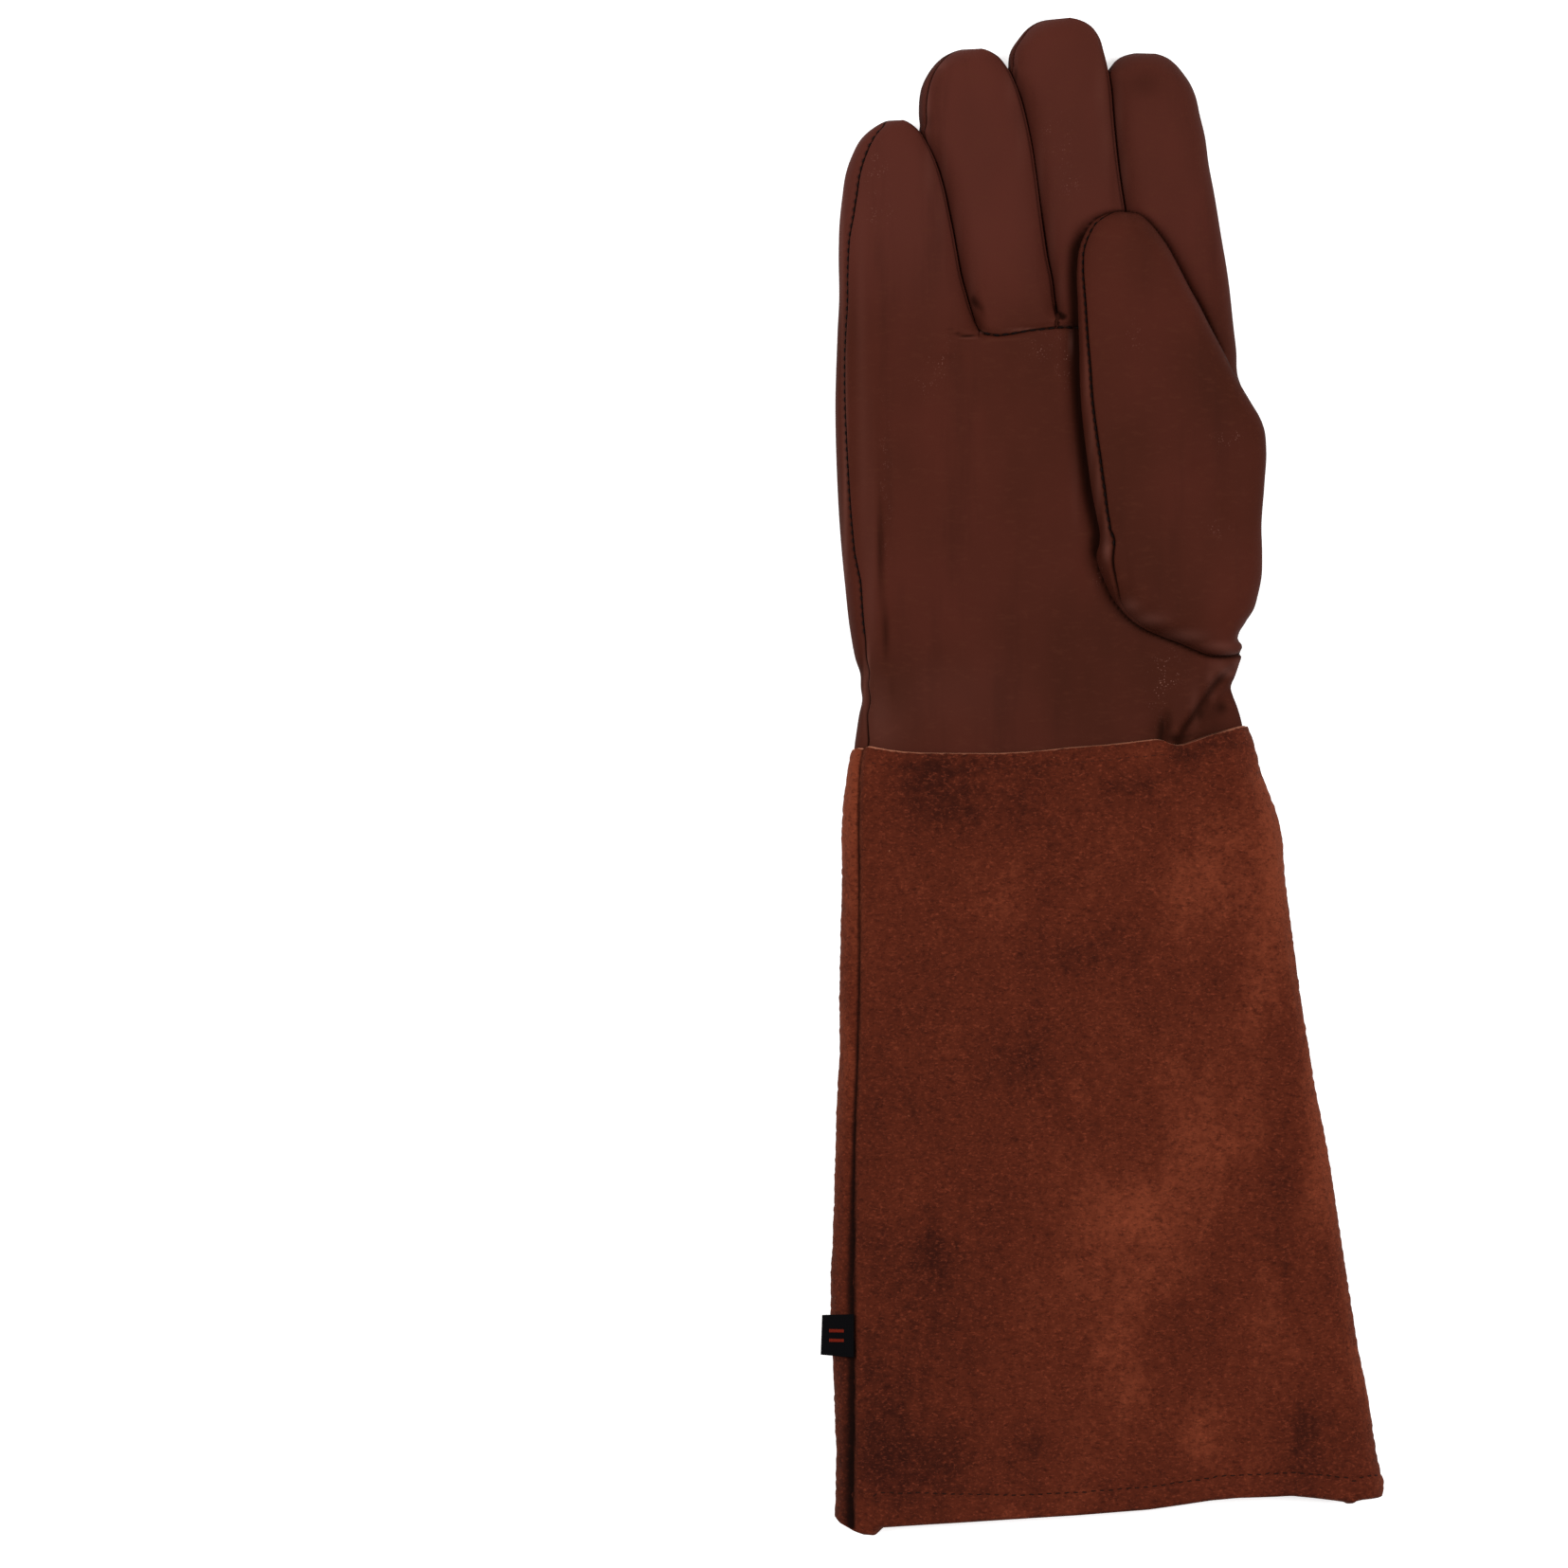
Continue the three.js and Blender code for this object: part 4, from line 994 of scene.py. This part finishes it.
def fork_piece(web, first, second, rim, inked):
    """Down the first finger's right side from its front seam to its back seam, and up the second finger's
    left side from its back seam to its front seam."""
    first, second = first[FRONT], second[FRONT]
    front, back = PI - first.right_seam(FORK_RIM), PI + first.right_seam(FORK_BACK)
    strip = {"columns": 12, "deep": 0.1}
    # The gap's painted shade darkens the lines along the seams and the second finger's tucked left edge
    down = leather_grid(first, front, back, dips=(0.3, 0.5), inked=first.by_height(inked), **strip)
    dark = second.by_height(inked)
    ends = back_left(second), 2 * PI + second.left_seam(rim)
    up = leather_grid(second, *ends, dips=(0.5, 0.5), inked=dark, shade=(dark, 0), **strip)
    leather_piece(f"fork_leather_{web}", [down, up], [f"fork_{web}"], FORK_WALL)


fork_piece("little_ring", little, ring, RING_RIM, LITTLE_RING_SHADE)
fork_piece("ring_middle", ring, middle, MIDDLE_RIM, RING_MIDDLE_SHADE)
fork_piece("middle_index", middle, index, FORK_RIM, MIDDLE_INDEX_SHADE)

thumb_seam = thumb.left_seam(THUMB_SEAM_INSET)
thumb_shade = (0, 0.5 * smooth(98, 112, thumb.right[:, 1]))
thumb_sewn = {"line": 0.62, "inked": mix(0.7, 1.0, smooth(46, 56, thumb.left[:, 1]))}
thumb_front = leather_grid(thumb, thumb_seam, PI, columns=52, dips=(0.6, 0), shade=thumb_shade, **thumb_sewn)
thumb_under = leather_grid(thumb, PI, 2 * PI, columns=40)
thumb_edge = leather_grid(thumb, 2 * PI, 2 * PI + thumb_seam, columns=16, dips=(0, 0.9), **thumb_sewn)
leather_piece("thumb_front_leather", [thumb_front], ["thumb_front"])
leather_piece("thumb_back_leather", [thumb_under, thumb_edge], ["thumb_back"])


# The suede cuff

# Measured lines, x and y: the sides from the top down, the top edge, the hem, and the seam near the left side
CUFF_LEFT = [
    (-67.6, 9), (-68, 6.9), (-69.1, 2), (-69.8, -3.4), (-70.5, -8.8), (-70.8, -15.9), (-70.7, -25.7),
    (-71.1, -44.7), (-71.4, -60), (-71.4, -77.1), (-72, -87.1), (-72.5, -102.3), (-72.9, -117.5),
    (-73.8, -142.9), (-73.2, -159.6), (-72.7, -171.2), (-72.3, -184), (-72.5, -196.9), (-72.7, -201),
    (-72.6, -206),
]
CUFF_RIGHT = [
    (38.4, 15), (38.9, 13.6), (39.9, 11.6), (41.7, 6.4), (43.2, 0), (45.7, -6.2), (48.4, -15.4),
    (49.5, -27.5), (51, -39.7), (54, -61.9), (56.5, -77.1), (57.3, -82.6), (61.2, -102.3), (64.3, -122.6),
    (68.2, -148), (69.5, -156.5), (71.3, -164.2), (72.8, -173.2), (73.8, -180.4), (74.7, -185.8),
    (75.5, -189.2), (76.3, -191.9), (76.3, -194.3), (76, -196.5),
]
CUFF_TOP_EDGE = [
    (-68, 6.9), (-66.8, 7.2), (-65.2, 7), (-63.9, 7.7), (-59.3, 6.8), (-54.7, 6.2), (-49.5, 5.9),
    (-39.5, 5.8), (-28.7, 5.8), (-19, 6.3), (-8.7, 7.4), (-0.2, 8), (8.3, 8.9), (14.3, 9.6), (16.4, 9.3),
    (18.2, 8.4), (20, 8), (21.9, 8.2), (27.6, 10.3), (33.1, 11.9), (37.3, 13), (38.9, 13.2),
]
HEM_EDGE = [
    (-72.7, -201), (-71.6, -202.3), (-69.6, -203.3), (-67.8, -204.3), (-65.7, -205), (-63.2, -205.2),
    (-62.4, -204.1), (-61.1, -203.1), (-48.3, -202.3), (-39.8, -201.8), (-26.9, -201), (-6.9, -199.8),
    (12.4, -198.3), (22.2, -196.9), (29.6, -195.8), (37.3, -195.1), (46.6, -194.8), (52.2, -194.5),
    (58.4, -195.1), (63.5, -195.7), (66.9, -196.2), (67.9, -196.8), (69.2, -196), (71.3, -195.6),
    (76.2, -195.3),
]
CUFF_SEAM = [
    (-65, 9), (-65.2, 5.6), (-65.7, 2), (-66, -3.4), (-66.2, -12.3), (-66, -25.7), (-66, -49.9),
    (-66.4, -77.1), (-67.1, -97.2), (-67.4, -127.7), (-67.4, -171.2), (-67.6, -192.5), (-67.7, -205),
]

# How far above the hem's edge its stitches run: x, height
HEM_STITCH_UP = [(-73, 8.8), (-62, 8.8), (-22, 5.6), (0, 5.4), (30, 5.5), (46, 5.5), (60, 5.6), (76, 5.5)]

# Level of the palm side above the floor: height along the cuff, level
CUFF_HIGH = [(-206, 12.2), (-168, 12.4), (-130, 13.0), (-87, 13.8), (-45, 14.6), (-8, 15.3), (15, 15.1)]
CUFF_ROUND = 8.5
CUFF_SPAN = (-205, 14)
SUEDE = 1.4

# How wide the turned-in hem is, and how far its fold stands out
HEM_DEPTH = 7.0
HEM_REACH = 0.9

# Folds of the palm side: two ends, half width, height
CUFF_FOLDS = [
    ((-58, 2), (-62, -40), 2, -0.35), ((-60.5, -20), (-62.5, -90), 1.6, 0.25),
    ((-57, -30), (-59, -80), 1.4, -0.2), ((18.6, 10), (20.6, 0), 2.6, 0.8), ((23.6, 10), (27, 0), 3, -0.8),
    ((13, 8), (15, -2), 3, 0.3), ((31, 10), (44, -22), 3.4, 0.55), ((36, 12), (49, -14), 2.6, -0.4),
    ((20, -48), (40, -88), 9, 0.5), ((-20, -20), (-38, -70), 8, -0.4), ((-30, -120), (-42, -190), 8, 0.4),
    ((12, -160), (20, -172), 1, -0.25), ((40, -120), (52, -185), 9, -0.35),
]


def cuff_relief(x, y):
    return (
        folds(x, y, CUFF_FOLDS)
        + 0.30 * ripple(x, y * 0.7, 90, 21)
        + 0.12 * ripple(x, y, 26, 22)
        + 0.05 * ripple(x, y, 7, 23)
    )


def edge_by_share(rows, share):
    """An end line of the cuff as height over the share of the width from left to right."""
    x, y = np.array(rows).T
    left, right = across_at(CUFF_LEFT, y), across_at(CUFF_RIGHT, y)
    return np.interp(share, (x - left) / (right - left), y)


CUFF_COLUMNS = 300
OUTER_ROWS = 260
BEND_ROWS = 7
RAW_ROWS = 5
INNER_ROWS = 44
CUT_ROWS = 3


def cuff_profile():
    """Rows of the wall's closed profile: share of the length, shift along it and depth inward. It runs down
    outside, round the turned hem, up its raw end, up inside and over the cut top edge."""
    down = np.linspace(0, 1, OUTER_ROWS)
    bend = np.linspace(0, PI, BEND_ROWS + 2)[1:-1]
    up = np.linspace(1, 0, INNER_ROWS)
    share = [down, np.ones(BEND_ROWS + RAW_ROWS + 1), up, np.zeros(CUT_ROWS)]
    shift = [
        -0.3 * (down == 0),
        -HEM_REACH * np.sin(bend),
        np.linspace(0, HEM_DEPTH, RAW_ROWS),
        [HEM_DEPTH],
        mix(0.0, HEM_DEPTH, up**8) - 0.4 * (up == 0),
        [-0.15, 0.0, -0.15],
    ]
    depth = [
        np.zeros(OUTER_ROWS),
        SUEDE * (1 - np.cos(bend)),
        np.full(RAW_ROWS, 2 * SUEDE),
        [1.5 * SUEDE],
        np.full(INNER_ROWS, SUEDE),
        [0.8 * SUEDE, 0.5 * SUEDE, 0.2 * SUEDE],
    ]
    return [np.concatenate(part) for part in (share, shift, depth)]


def cuff_points(angle, share, shift, depth):
    """Points of the cuff's wall for arrays of angle, share of the length, shift along and depth inward."""
    s = (1 - np.cos(angle)) / 2
    y = mix(edge_by_share(CUFF_TOP_EDGE, s), edge_by_share(HEM_EDGE, s), share) + shift
    flat_y = np.clip(y, *CUFF_SPAN)
    left, right = across_at(CUFF_LEFT, flat_y) + depth, across_at(CUFF_RIGHT, flat_y) - depth
    high, low = table(CUFF_HIGH, y) - depth, depth
    side = mix(low, high, FREE_SIDE)
    x = mix(left, right, s)
    over = np.sin(angle) >= 0
    rounding = np.where(over, CUFF_ROUND, CUFF_ROUND * LOW_ROUND_SHARE) - depth * 0.8
    inward = quarter_ellipse(np.minimum(x - left, right - x) / rounding)
    z = side + np.where(over, high - side, low - side) * inward
    outside = depth < 0.1
    seam = x - across_at(CUFF_SEAM, y)
    groove = np.where(over & outside, np.exp(-((seam / np.where(seam < 0, 1.5, 0.55)) ** 2)), 0)
    line = edge_by_share(HEM_EDGE, s) + table(HEM_STITCH_UP, x)
    row = np.where(outside, np.exp(-(((y - line) / 0.8) ** 2)), 0)
    z = z + np.where(over, cuff_relief(x, y) * inward, 0) - 1.5 * groove
    z = z - np.where(over, 0.3, -0.1) * row
    # The seam's groove is drawn dark, with painted shade spreading to its left
    ink = table(SEAM_DARK, y) * bell(seam, table(SEAM_SHADOW, y), 0.38) * (over & outside)
    rough = np.where(outside, 0.10 * ripple(x, y, 2.6, 31) + 0.06 * ripple(x, y, 1.3, 32), 0)
    y = y + rough * smooth(0.0, 0.02, share * (share > 0.5) + (share < 0.002))
    x = x + rough * np.sign(s - 0.5) * np.abs(2 * s - 1) ** 8
    return np.stack([x, y, z], axis=-1), np.maximum(ink, row * 0.22)


# Lighter and darker areas of the nap on the palm side: x, y, half width, half height, amount
NAP = [
    (-41, -6, 17, 10, -0.8), (-20, -13, 12, 7, -0.25), (6, -3, 16, 6, -0.35), (30, -22, 17, 16, 0.55),
    (46, -18, 5, 22, 0.9), (44, -50, 8, 16, 0.5), (-9, -50, 9, 7, -0.8), (3, -46, 8, 6, -0.4),
    (-22, -77, 8, 10, -0.6), (-9, -66, 10, 8, -0.2), (28, -95, 15, 16, 0.7), (8, -118, 13, 10, 0.95),
    (-10, -135, 18, 18, 0.6), (5, -152, 10, 9, 0.4), (30, -112, 12, 14, 0.4), (-33, -26, 8, 12, 0.3),
    (-40, -55, 10, 10, -0.2), (-62, -95, 6, 14, -0.3), (-48, -92, 8, 8, -0.35), (-42, -132, 10, 9, -0.6),
    (48, -100, 6, 28, -0.5), (18, -145, 6, 10, -0.4), (8, -168, 6, 8, 0.6), (27, -178, 8, 9, 0.5),
    (45, -148, 8, 12, 0.3), (-18, -183, 8, 9, -0.5), (55, -178, 7, 12, -0.9), (-55, -185, 16, 18, -0.9),
    (-62, -150, 5, 40, -0.3), (58, -108, 5, 26, 0.9), (-8, -201, 40, 3, 0.2), (22, 5, 5, 5, -0.7),
    (-26, -128, 6, 18, -0.7), (10, -137, 14, 6, 0.6), (-40, -183, 8, 10, -0.6), (25, -186, 6, 12, 0.6),
    (36, -64, 9, 12, 0.45), (14, -30, 5, 10, 0.3), (12, -6, 4, 8, -0.3), (-64, 4, 5, 6, 0.6),
    (10, 5, 6, 4, 0.6), (-48, -38, 5, 4, -0.5), (-6, -86, 5, 6, 0.4), (60, -133, 5, 11, -0.6),
    (-28, 3, 26, 3, -0.3), (-20, 5, 30, 2, 0.3),
]

# How dark the painted shade in the groove of the seam near the left side is, and how far its painted shadow
# reaches left: height, value
SEAM_DARK = [(-206, 1.0), (-120, 0.95), (-60, 0.8), (10, 0.7)]
SEAM_SHADOW = [(-206, 2.6), (-140, 2.4), (-105, 1.2), (-60, 0.7), (10, 0.5)]

# How pale the cut top edge is by x, and by height the painted light and painted shade on the rim left of the
# seam
CUT_PALE = [
    (-70, 1), (-56, 0.9), (-44, 0), (-20, -0.1), (2, -0.4), (8, 0.3), (14, 0.3), (18, -1), (31, -1.6),
    (34, -0.5), (38, 0.2),
]
SEAM_RIM = [(-206, -0.6), (-130, -0.1), (-100, 0.4), (-70, 0.3), (-50, 0.1), (-20, 1.1), (5, 1.8)]


def nap(points, depth, share):
    """How light the nap is at each point: the areas above, a darker band at the top, a painted sheen along
    the right edge, and painted light and painted shade on the folded rim by the seam.
    """
    x, y, z = np.moveaxis(points, -1, 0)
    over = smooth(4, 8, z)
    # Painted light on the rim left of the seam higher up, painted shade near the hem
    rim = smooth(1.0, -1.0, x - across_at(CUFF_SEAM, y)) * table(SEAM_RIM, y)
    top = np.exp(-((share * 205 / 5.0) ** 2)) * -0.4
    # Painted sheen along the right edge
    right = smooth(6.0, 0.0, across_at(CUFF_RIGHT, np.clip(y, *CUFF_SPAN)) - x) * 0.5
    cut = np.where(share < 0.001, table(CUT_PALE, x), -0.4)
    return np.where(depth < 0.1, over * (spots(x, y, NAP) + rim) + top + right, cut)


def add_cuff():
    angle = np.linspace(0, 2 * PI, CUFF_COLUMNS, endpoint=False)[None, :]
    share, shift, depth = [column[:, None] for column in cuff_profile()]
    grids = np.broadcast_arrays(angle, share, shift, depth)
    points, ink_and_shade = cuff_points(*grids)
    faces = grid_faces(len(share), CUFF_COLUMNS, closed_rows=True, closed_columns=True)[:, ::-1]
    attributes = {"ink_and_shade": ink_and_shade.reshape(-1), "marks_and_painted_light": nap(points, grids[3], grids[1]).reshape(-1)}
    piece = mesh_object("cuff_suede", points.reshape(-1, 3), faces, attributes)
    finish_piece(piece, suede, ["cuff"])
    piece.data.materials.append(cut_edge)
    slot = np.zeros((len(share), CUFF_COLUMNS), dtype=np.int32)
    slot[-CUT_ROWS:] = 1
    piece.data.polygons.foreach_set("material_index", slot.reshape(-1))


add_cuff()


# Stitches

# Stitches: pitch, length, width and how far the thread's middle stands above the sheet
SEAM_STITCH = (2.25, 1.5, 0.5, 0.12)
ROOT_STITCH = (2.5, 1.8, 0.55, 0.15)
HEM_STITCH = (2.4, 1.5, 0.42, 0.03)
JOINT_STITCH = (2.4, 1.3, 0.34, -0.06)
BAR_STITCH = (0.28, 1.0, 0.26, 0.0)

# Rings along a thread and corners in each
SPINDLE = 6
STITCH_STEPS = 260


def path_frames(path, normals, pitch):
    """Places at equal steps along a line, with the line's direction and the surface normal there."""
    steps = np.linalg.norm(np.diff(path, axis=0), axis=1)
    run = np.concatenate([[0], np.cumsum(steps)])
    stops = np.arange(0.5 * pitch, run[-1] - 0.4 * pitch, pitch)

    def read(values, at):
        return np.stack([np.interp(at, run, values[:, k]) for k in range(3)], axis=-1)

    along = read(path, stops + 0.3) - read(path, stops - 0.3)
    along = along / np.linalg.norm(along, axis=1, keepdims=True)
    return read(path, stops), along, read(normals, stops)


def stitch_row(name, path, normals, stitch, finish, slot, yaw=0.0):
    """A row of threads: each is a spindle whose middle stands highest and whose ends sink into the sheet."""
    pitch, length, width, lift = stitch
    place, along, normal = path_frames(path, normals, pitch)
    side = np.cross(normal, along)
    side = side / np.linalg.norm(side, axis=1, keepdims=True)
    up = np.cross(along, side)
    lean, straight = np.sin(yaw), np.cos(yaw)
    along, side = along * straight + side * lean, side * straight - along * lean
    t = np.linspace(-1, 1, SPINDLE)[:, None]
    turn = np.linspace(0, 2 * PI, SPINDLE, endpoint=False)[None, :]
    thick = width / 2 * np.sqrt(np.clip(1 - t**4, 0.03, 1))
    forward = np.broadcast_to(t * length / 2, (SPINDLE, SPINDLE)).reshape(-1)
    sideways = (thick * np.cos(turn)).reshape(-1)
    upward = (thick * np.sin(turn) + lift * (1 - 1.3 * t**2)).reshape(-1)
    points = (
        place[:, None, :]
        + forward[None, :, None] * along[:, None, :]
        + sideways[None, :, None] * side[:, None, :]
        + upward[None, :, None] * up[:, None, :]
    )
    body = grid_faces(SPINDLE, SPINDLE, closed_columns=True)[:, ::-1]
    near_end = np.array([[0, 1, 2, 3], [0, 3, 4, 5]])
    far_end = np.array([[3, 2, 1, 0], [5, 4, 3, 0]]) + SPINDLE * (SPINDLE - 1)
    one = np.concatenate([body, near_end, far_end])
    faces = (one[None] + SPINDLE**2 * np.arange(len(place))[:, None, None]).reshape(-1, 4)
    finish_piece(mesh_object(name, points.reshape(-1, 3), faces), finish)


def leather_stitches(name, tube, angle, sink=0.45):
    """A row of stitches along a tube at an angle per row, sunk in from its surface."""
    fan = angle[:, None] + np.array([-0.03, 0.0, 0.03])[None, :]
    grid = tube.points(fan)
    normals = grid_normals(grid)[:, 1]
    stitch_row(name, grid[:, 1] - normals * sink, normals, SEAM_STITCH, dark_thread, "smooth_leather")


SIDE_STITCHED = slice(50, -3)
THUMB_STITCHED = slice(58, -3)
leather_stitches("side_seam_stitches", little[SIDE_STITCHED], little_seam[SIDE_STITCHED])
leather_stitches("thumb_seam_stitches", thumb[THUMB_STITCHED], thumb_seam[THUMB_STITCHED])


def root_seam_path(start=-32.6, end=8.0, steps=80, sink=0.75):
    x = np.linspace(start, end, steps)
    y = ROOT_SEAM_Y + ROOT_SEAM_RISE - table(ROOT_SEAM_SAG, x)
    z = table(HAND_TOP, y) + hand_relief(x, y) - sink
    up = np.tile([0.0, 0.0, 1.0], (steps, 1))
    return np.stack([x, y, z], axis=-1), up


stitch_row("root_seam_stitches", *root_seam_path(), ROOT_STITCH, dark_thread, "smooth_leather")


def cuff_line(angle, share, shift):
    """A line on the cuff's outside, with normals straight up on the palm side and straight down below."""
    none = np.zeros(len(angle))
    path, _ = cuff_points(angle, share + none, shift + none, none)
    return path, np.where(np.sin(angle) >= 0, 1.0, -1.0)[:, None] * np.array([[0.0, 0.0, 1.0]])


def hem_line(start, end):
    angle = np.linspace(start, end, STITCH_STEPS)
    on_edge, _ = cuff_line(angle, 1, 0)
    return cuff_line(angle, 1, table(HEM_STITCH_UP, on_edge[:, 0]))


def top_line(start, end, below=4.2):
    return cuff_line(np.linspace(start, end, STITCH_STEPS), 0, -below)


stitch_row("hem_stitches_palm_side", *hem_line(0.52, 2.98), HEM_STITCH, hem_thread, "suede")
stitch_row("hem_stitches_back", *hem_line(3.4, 5.9), HEM_STITCH, hem_thread, "suede")
stitch_row("cuff_joint_stitches_palm_side", *top_line(0.45, 2.9), JOINT_STITCH, brown_thread, "suede")
stitch_row("cuff_joint_stitches_back", *top_line(3.5, 5.8), JOINT_STITCH, brown_thread, "suede")


# The size tab, with two plain woven bars

# The lower and upper corner at the tab's fold and at its seam, and its section: share of its reach, level
TAB_FOLD = [(-76.5, -157.2), (-76.1, -146.4)]
TAB_SEAM = [(-67.5, -157.8), (-67.5, -146.1)]
TAB_REACH = 8.8
TAB_THICK = 0.28
TAB_SECTION = [
    (0, 13.05), (0.25, 12.75), (0.5, 12.05), (0.75, 11.25), (0.97, 10.55), (1, 10.3), (0.97, 10.05),
    (0.75, 10.55), (0.5, 11.35), (0.25, 12.15), (0, 12.45),
]


TAB_ROWS, TAB_COLUMNS = 40, 61


def add_tab():
    """A folded ribbon: its section runs out over the cuff's edge, round the fold and back."""
    reach, level = line_through(TAB_SECTION, np.linspace(0, 1, TAB_COLUMNS)).T
    wide = np.linspace(0, 1, TAB_ROWS)[:, None]
    tip, root = mix(*np.array(TAB_FOLD), wide), mix(*np.array(TAB_SEAM), wide)
    place = mix(root[:, None, :], tip[:, None, :], reach[None, :, None])
    z = level[None, :] + 0.10 * np.sin(wide * PI) * reach[None, :]
    points = np.concatenate([place, z[..., None]], axis=-1)
    piece = mesh_object("size_tab_ribbon", points.reshape(-1, 3), grid_faces(TAB_ROWS, TAB_COLUMNS))
    thicken(piece, TAB_THICK, offset=1.0)
    finish_piece(piece, tab_weave, ["size_tab"])


BAR_ENDS = (-74.2, -70.2)
BAR_HEIGHTS = (-150.6, -153.2)
BAR_LIFT = 0.34


def add_tab_bars(count=16):
    """Two short satin-stitched bars, which lie on the upper half of the tab's section."""
    reach, level = np.array(TAB_SECTION[:5]).T
    x = np.linspace(*BAR_ENDS, count)
    z = np.interp((TAB_SEAM[0][0] - x) / TAB_REACH, reach, level) + BAR_LIFT
    normals = np.stack([-np.gradient(z, x), np.zeros(count), np.ones(count)], axis=-1)
    for number, y in enumerate(BAR_HEIGHTS, 1):
        path = np.stack([x, np.full(count, y), z], axis=-1)
        stitch_row(f"tab_bar_{number}", path, normals, BAR_STITCH, red_thread, "tab_weave", yaw=PI / 2)


add_tab()
add_tab_bars()


# Floor and light

def add_floor(size=3000.0, below=0.2):
    corners = np.array([(-1, -1, 0), (1, -1, 0), (1, 1, 0), (-1, 1, 0)]) * size - [0, 0, below]
    floor = mesh_object("floor", corners, np.array([[0, 1, 2, 3]]))
    floor.data.materials.append(make_floor())


def add_light(name, place, power, size=0.8):
    """A square softbox that faces the glove. Its place and size are in metres."""
    data = bpy.data.lights.new(name, "AREA")
    data.shape = "SQUARE"
    data.size, data.energy = size, power
    light = bpy.data.objects.new(name, data)
    light.location = place
    light.rotation_euler = (-Vector(place)).to_track_quat("-Z", "Y").to_euler()
    bpy.context.scene.collection.objects.link(light)


def add_studio():
    world = bpy.data.worlds.new("studio")
    world.use_nodes = True
    world.node_tree.nodes["Background"].inputs["Color"].default_value = (1, 1, 1, 1)
    world.node_tree.nodes["Background"].inputs["Strength"].default_value = 0.32
    bpy.context.scene.world = world
    bpy.context.scene.view_settings.view_transform = "Standard"
    add_light("right_softbox", (1.0, 0.2, 1.9), 26)
    add_light("left_softbox", (-1.0, 0.4, 1.9), 25)


add_floor()
add_studio()
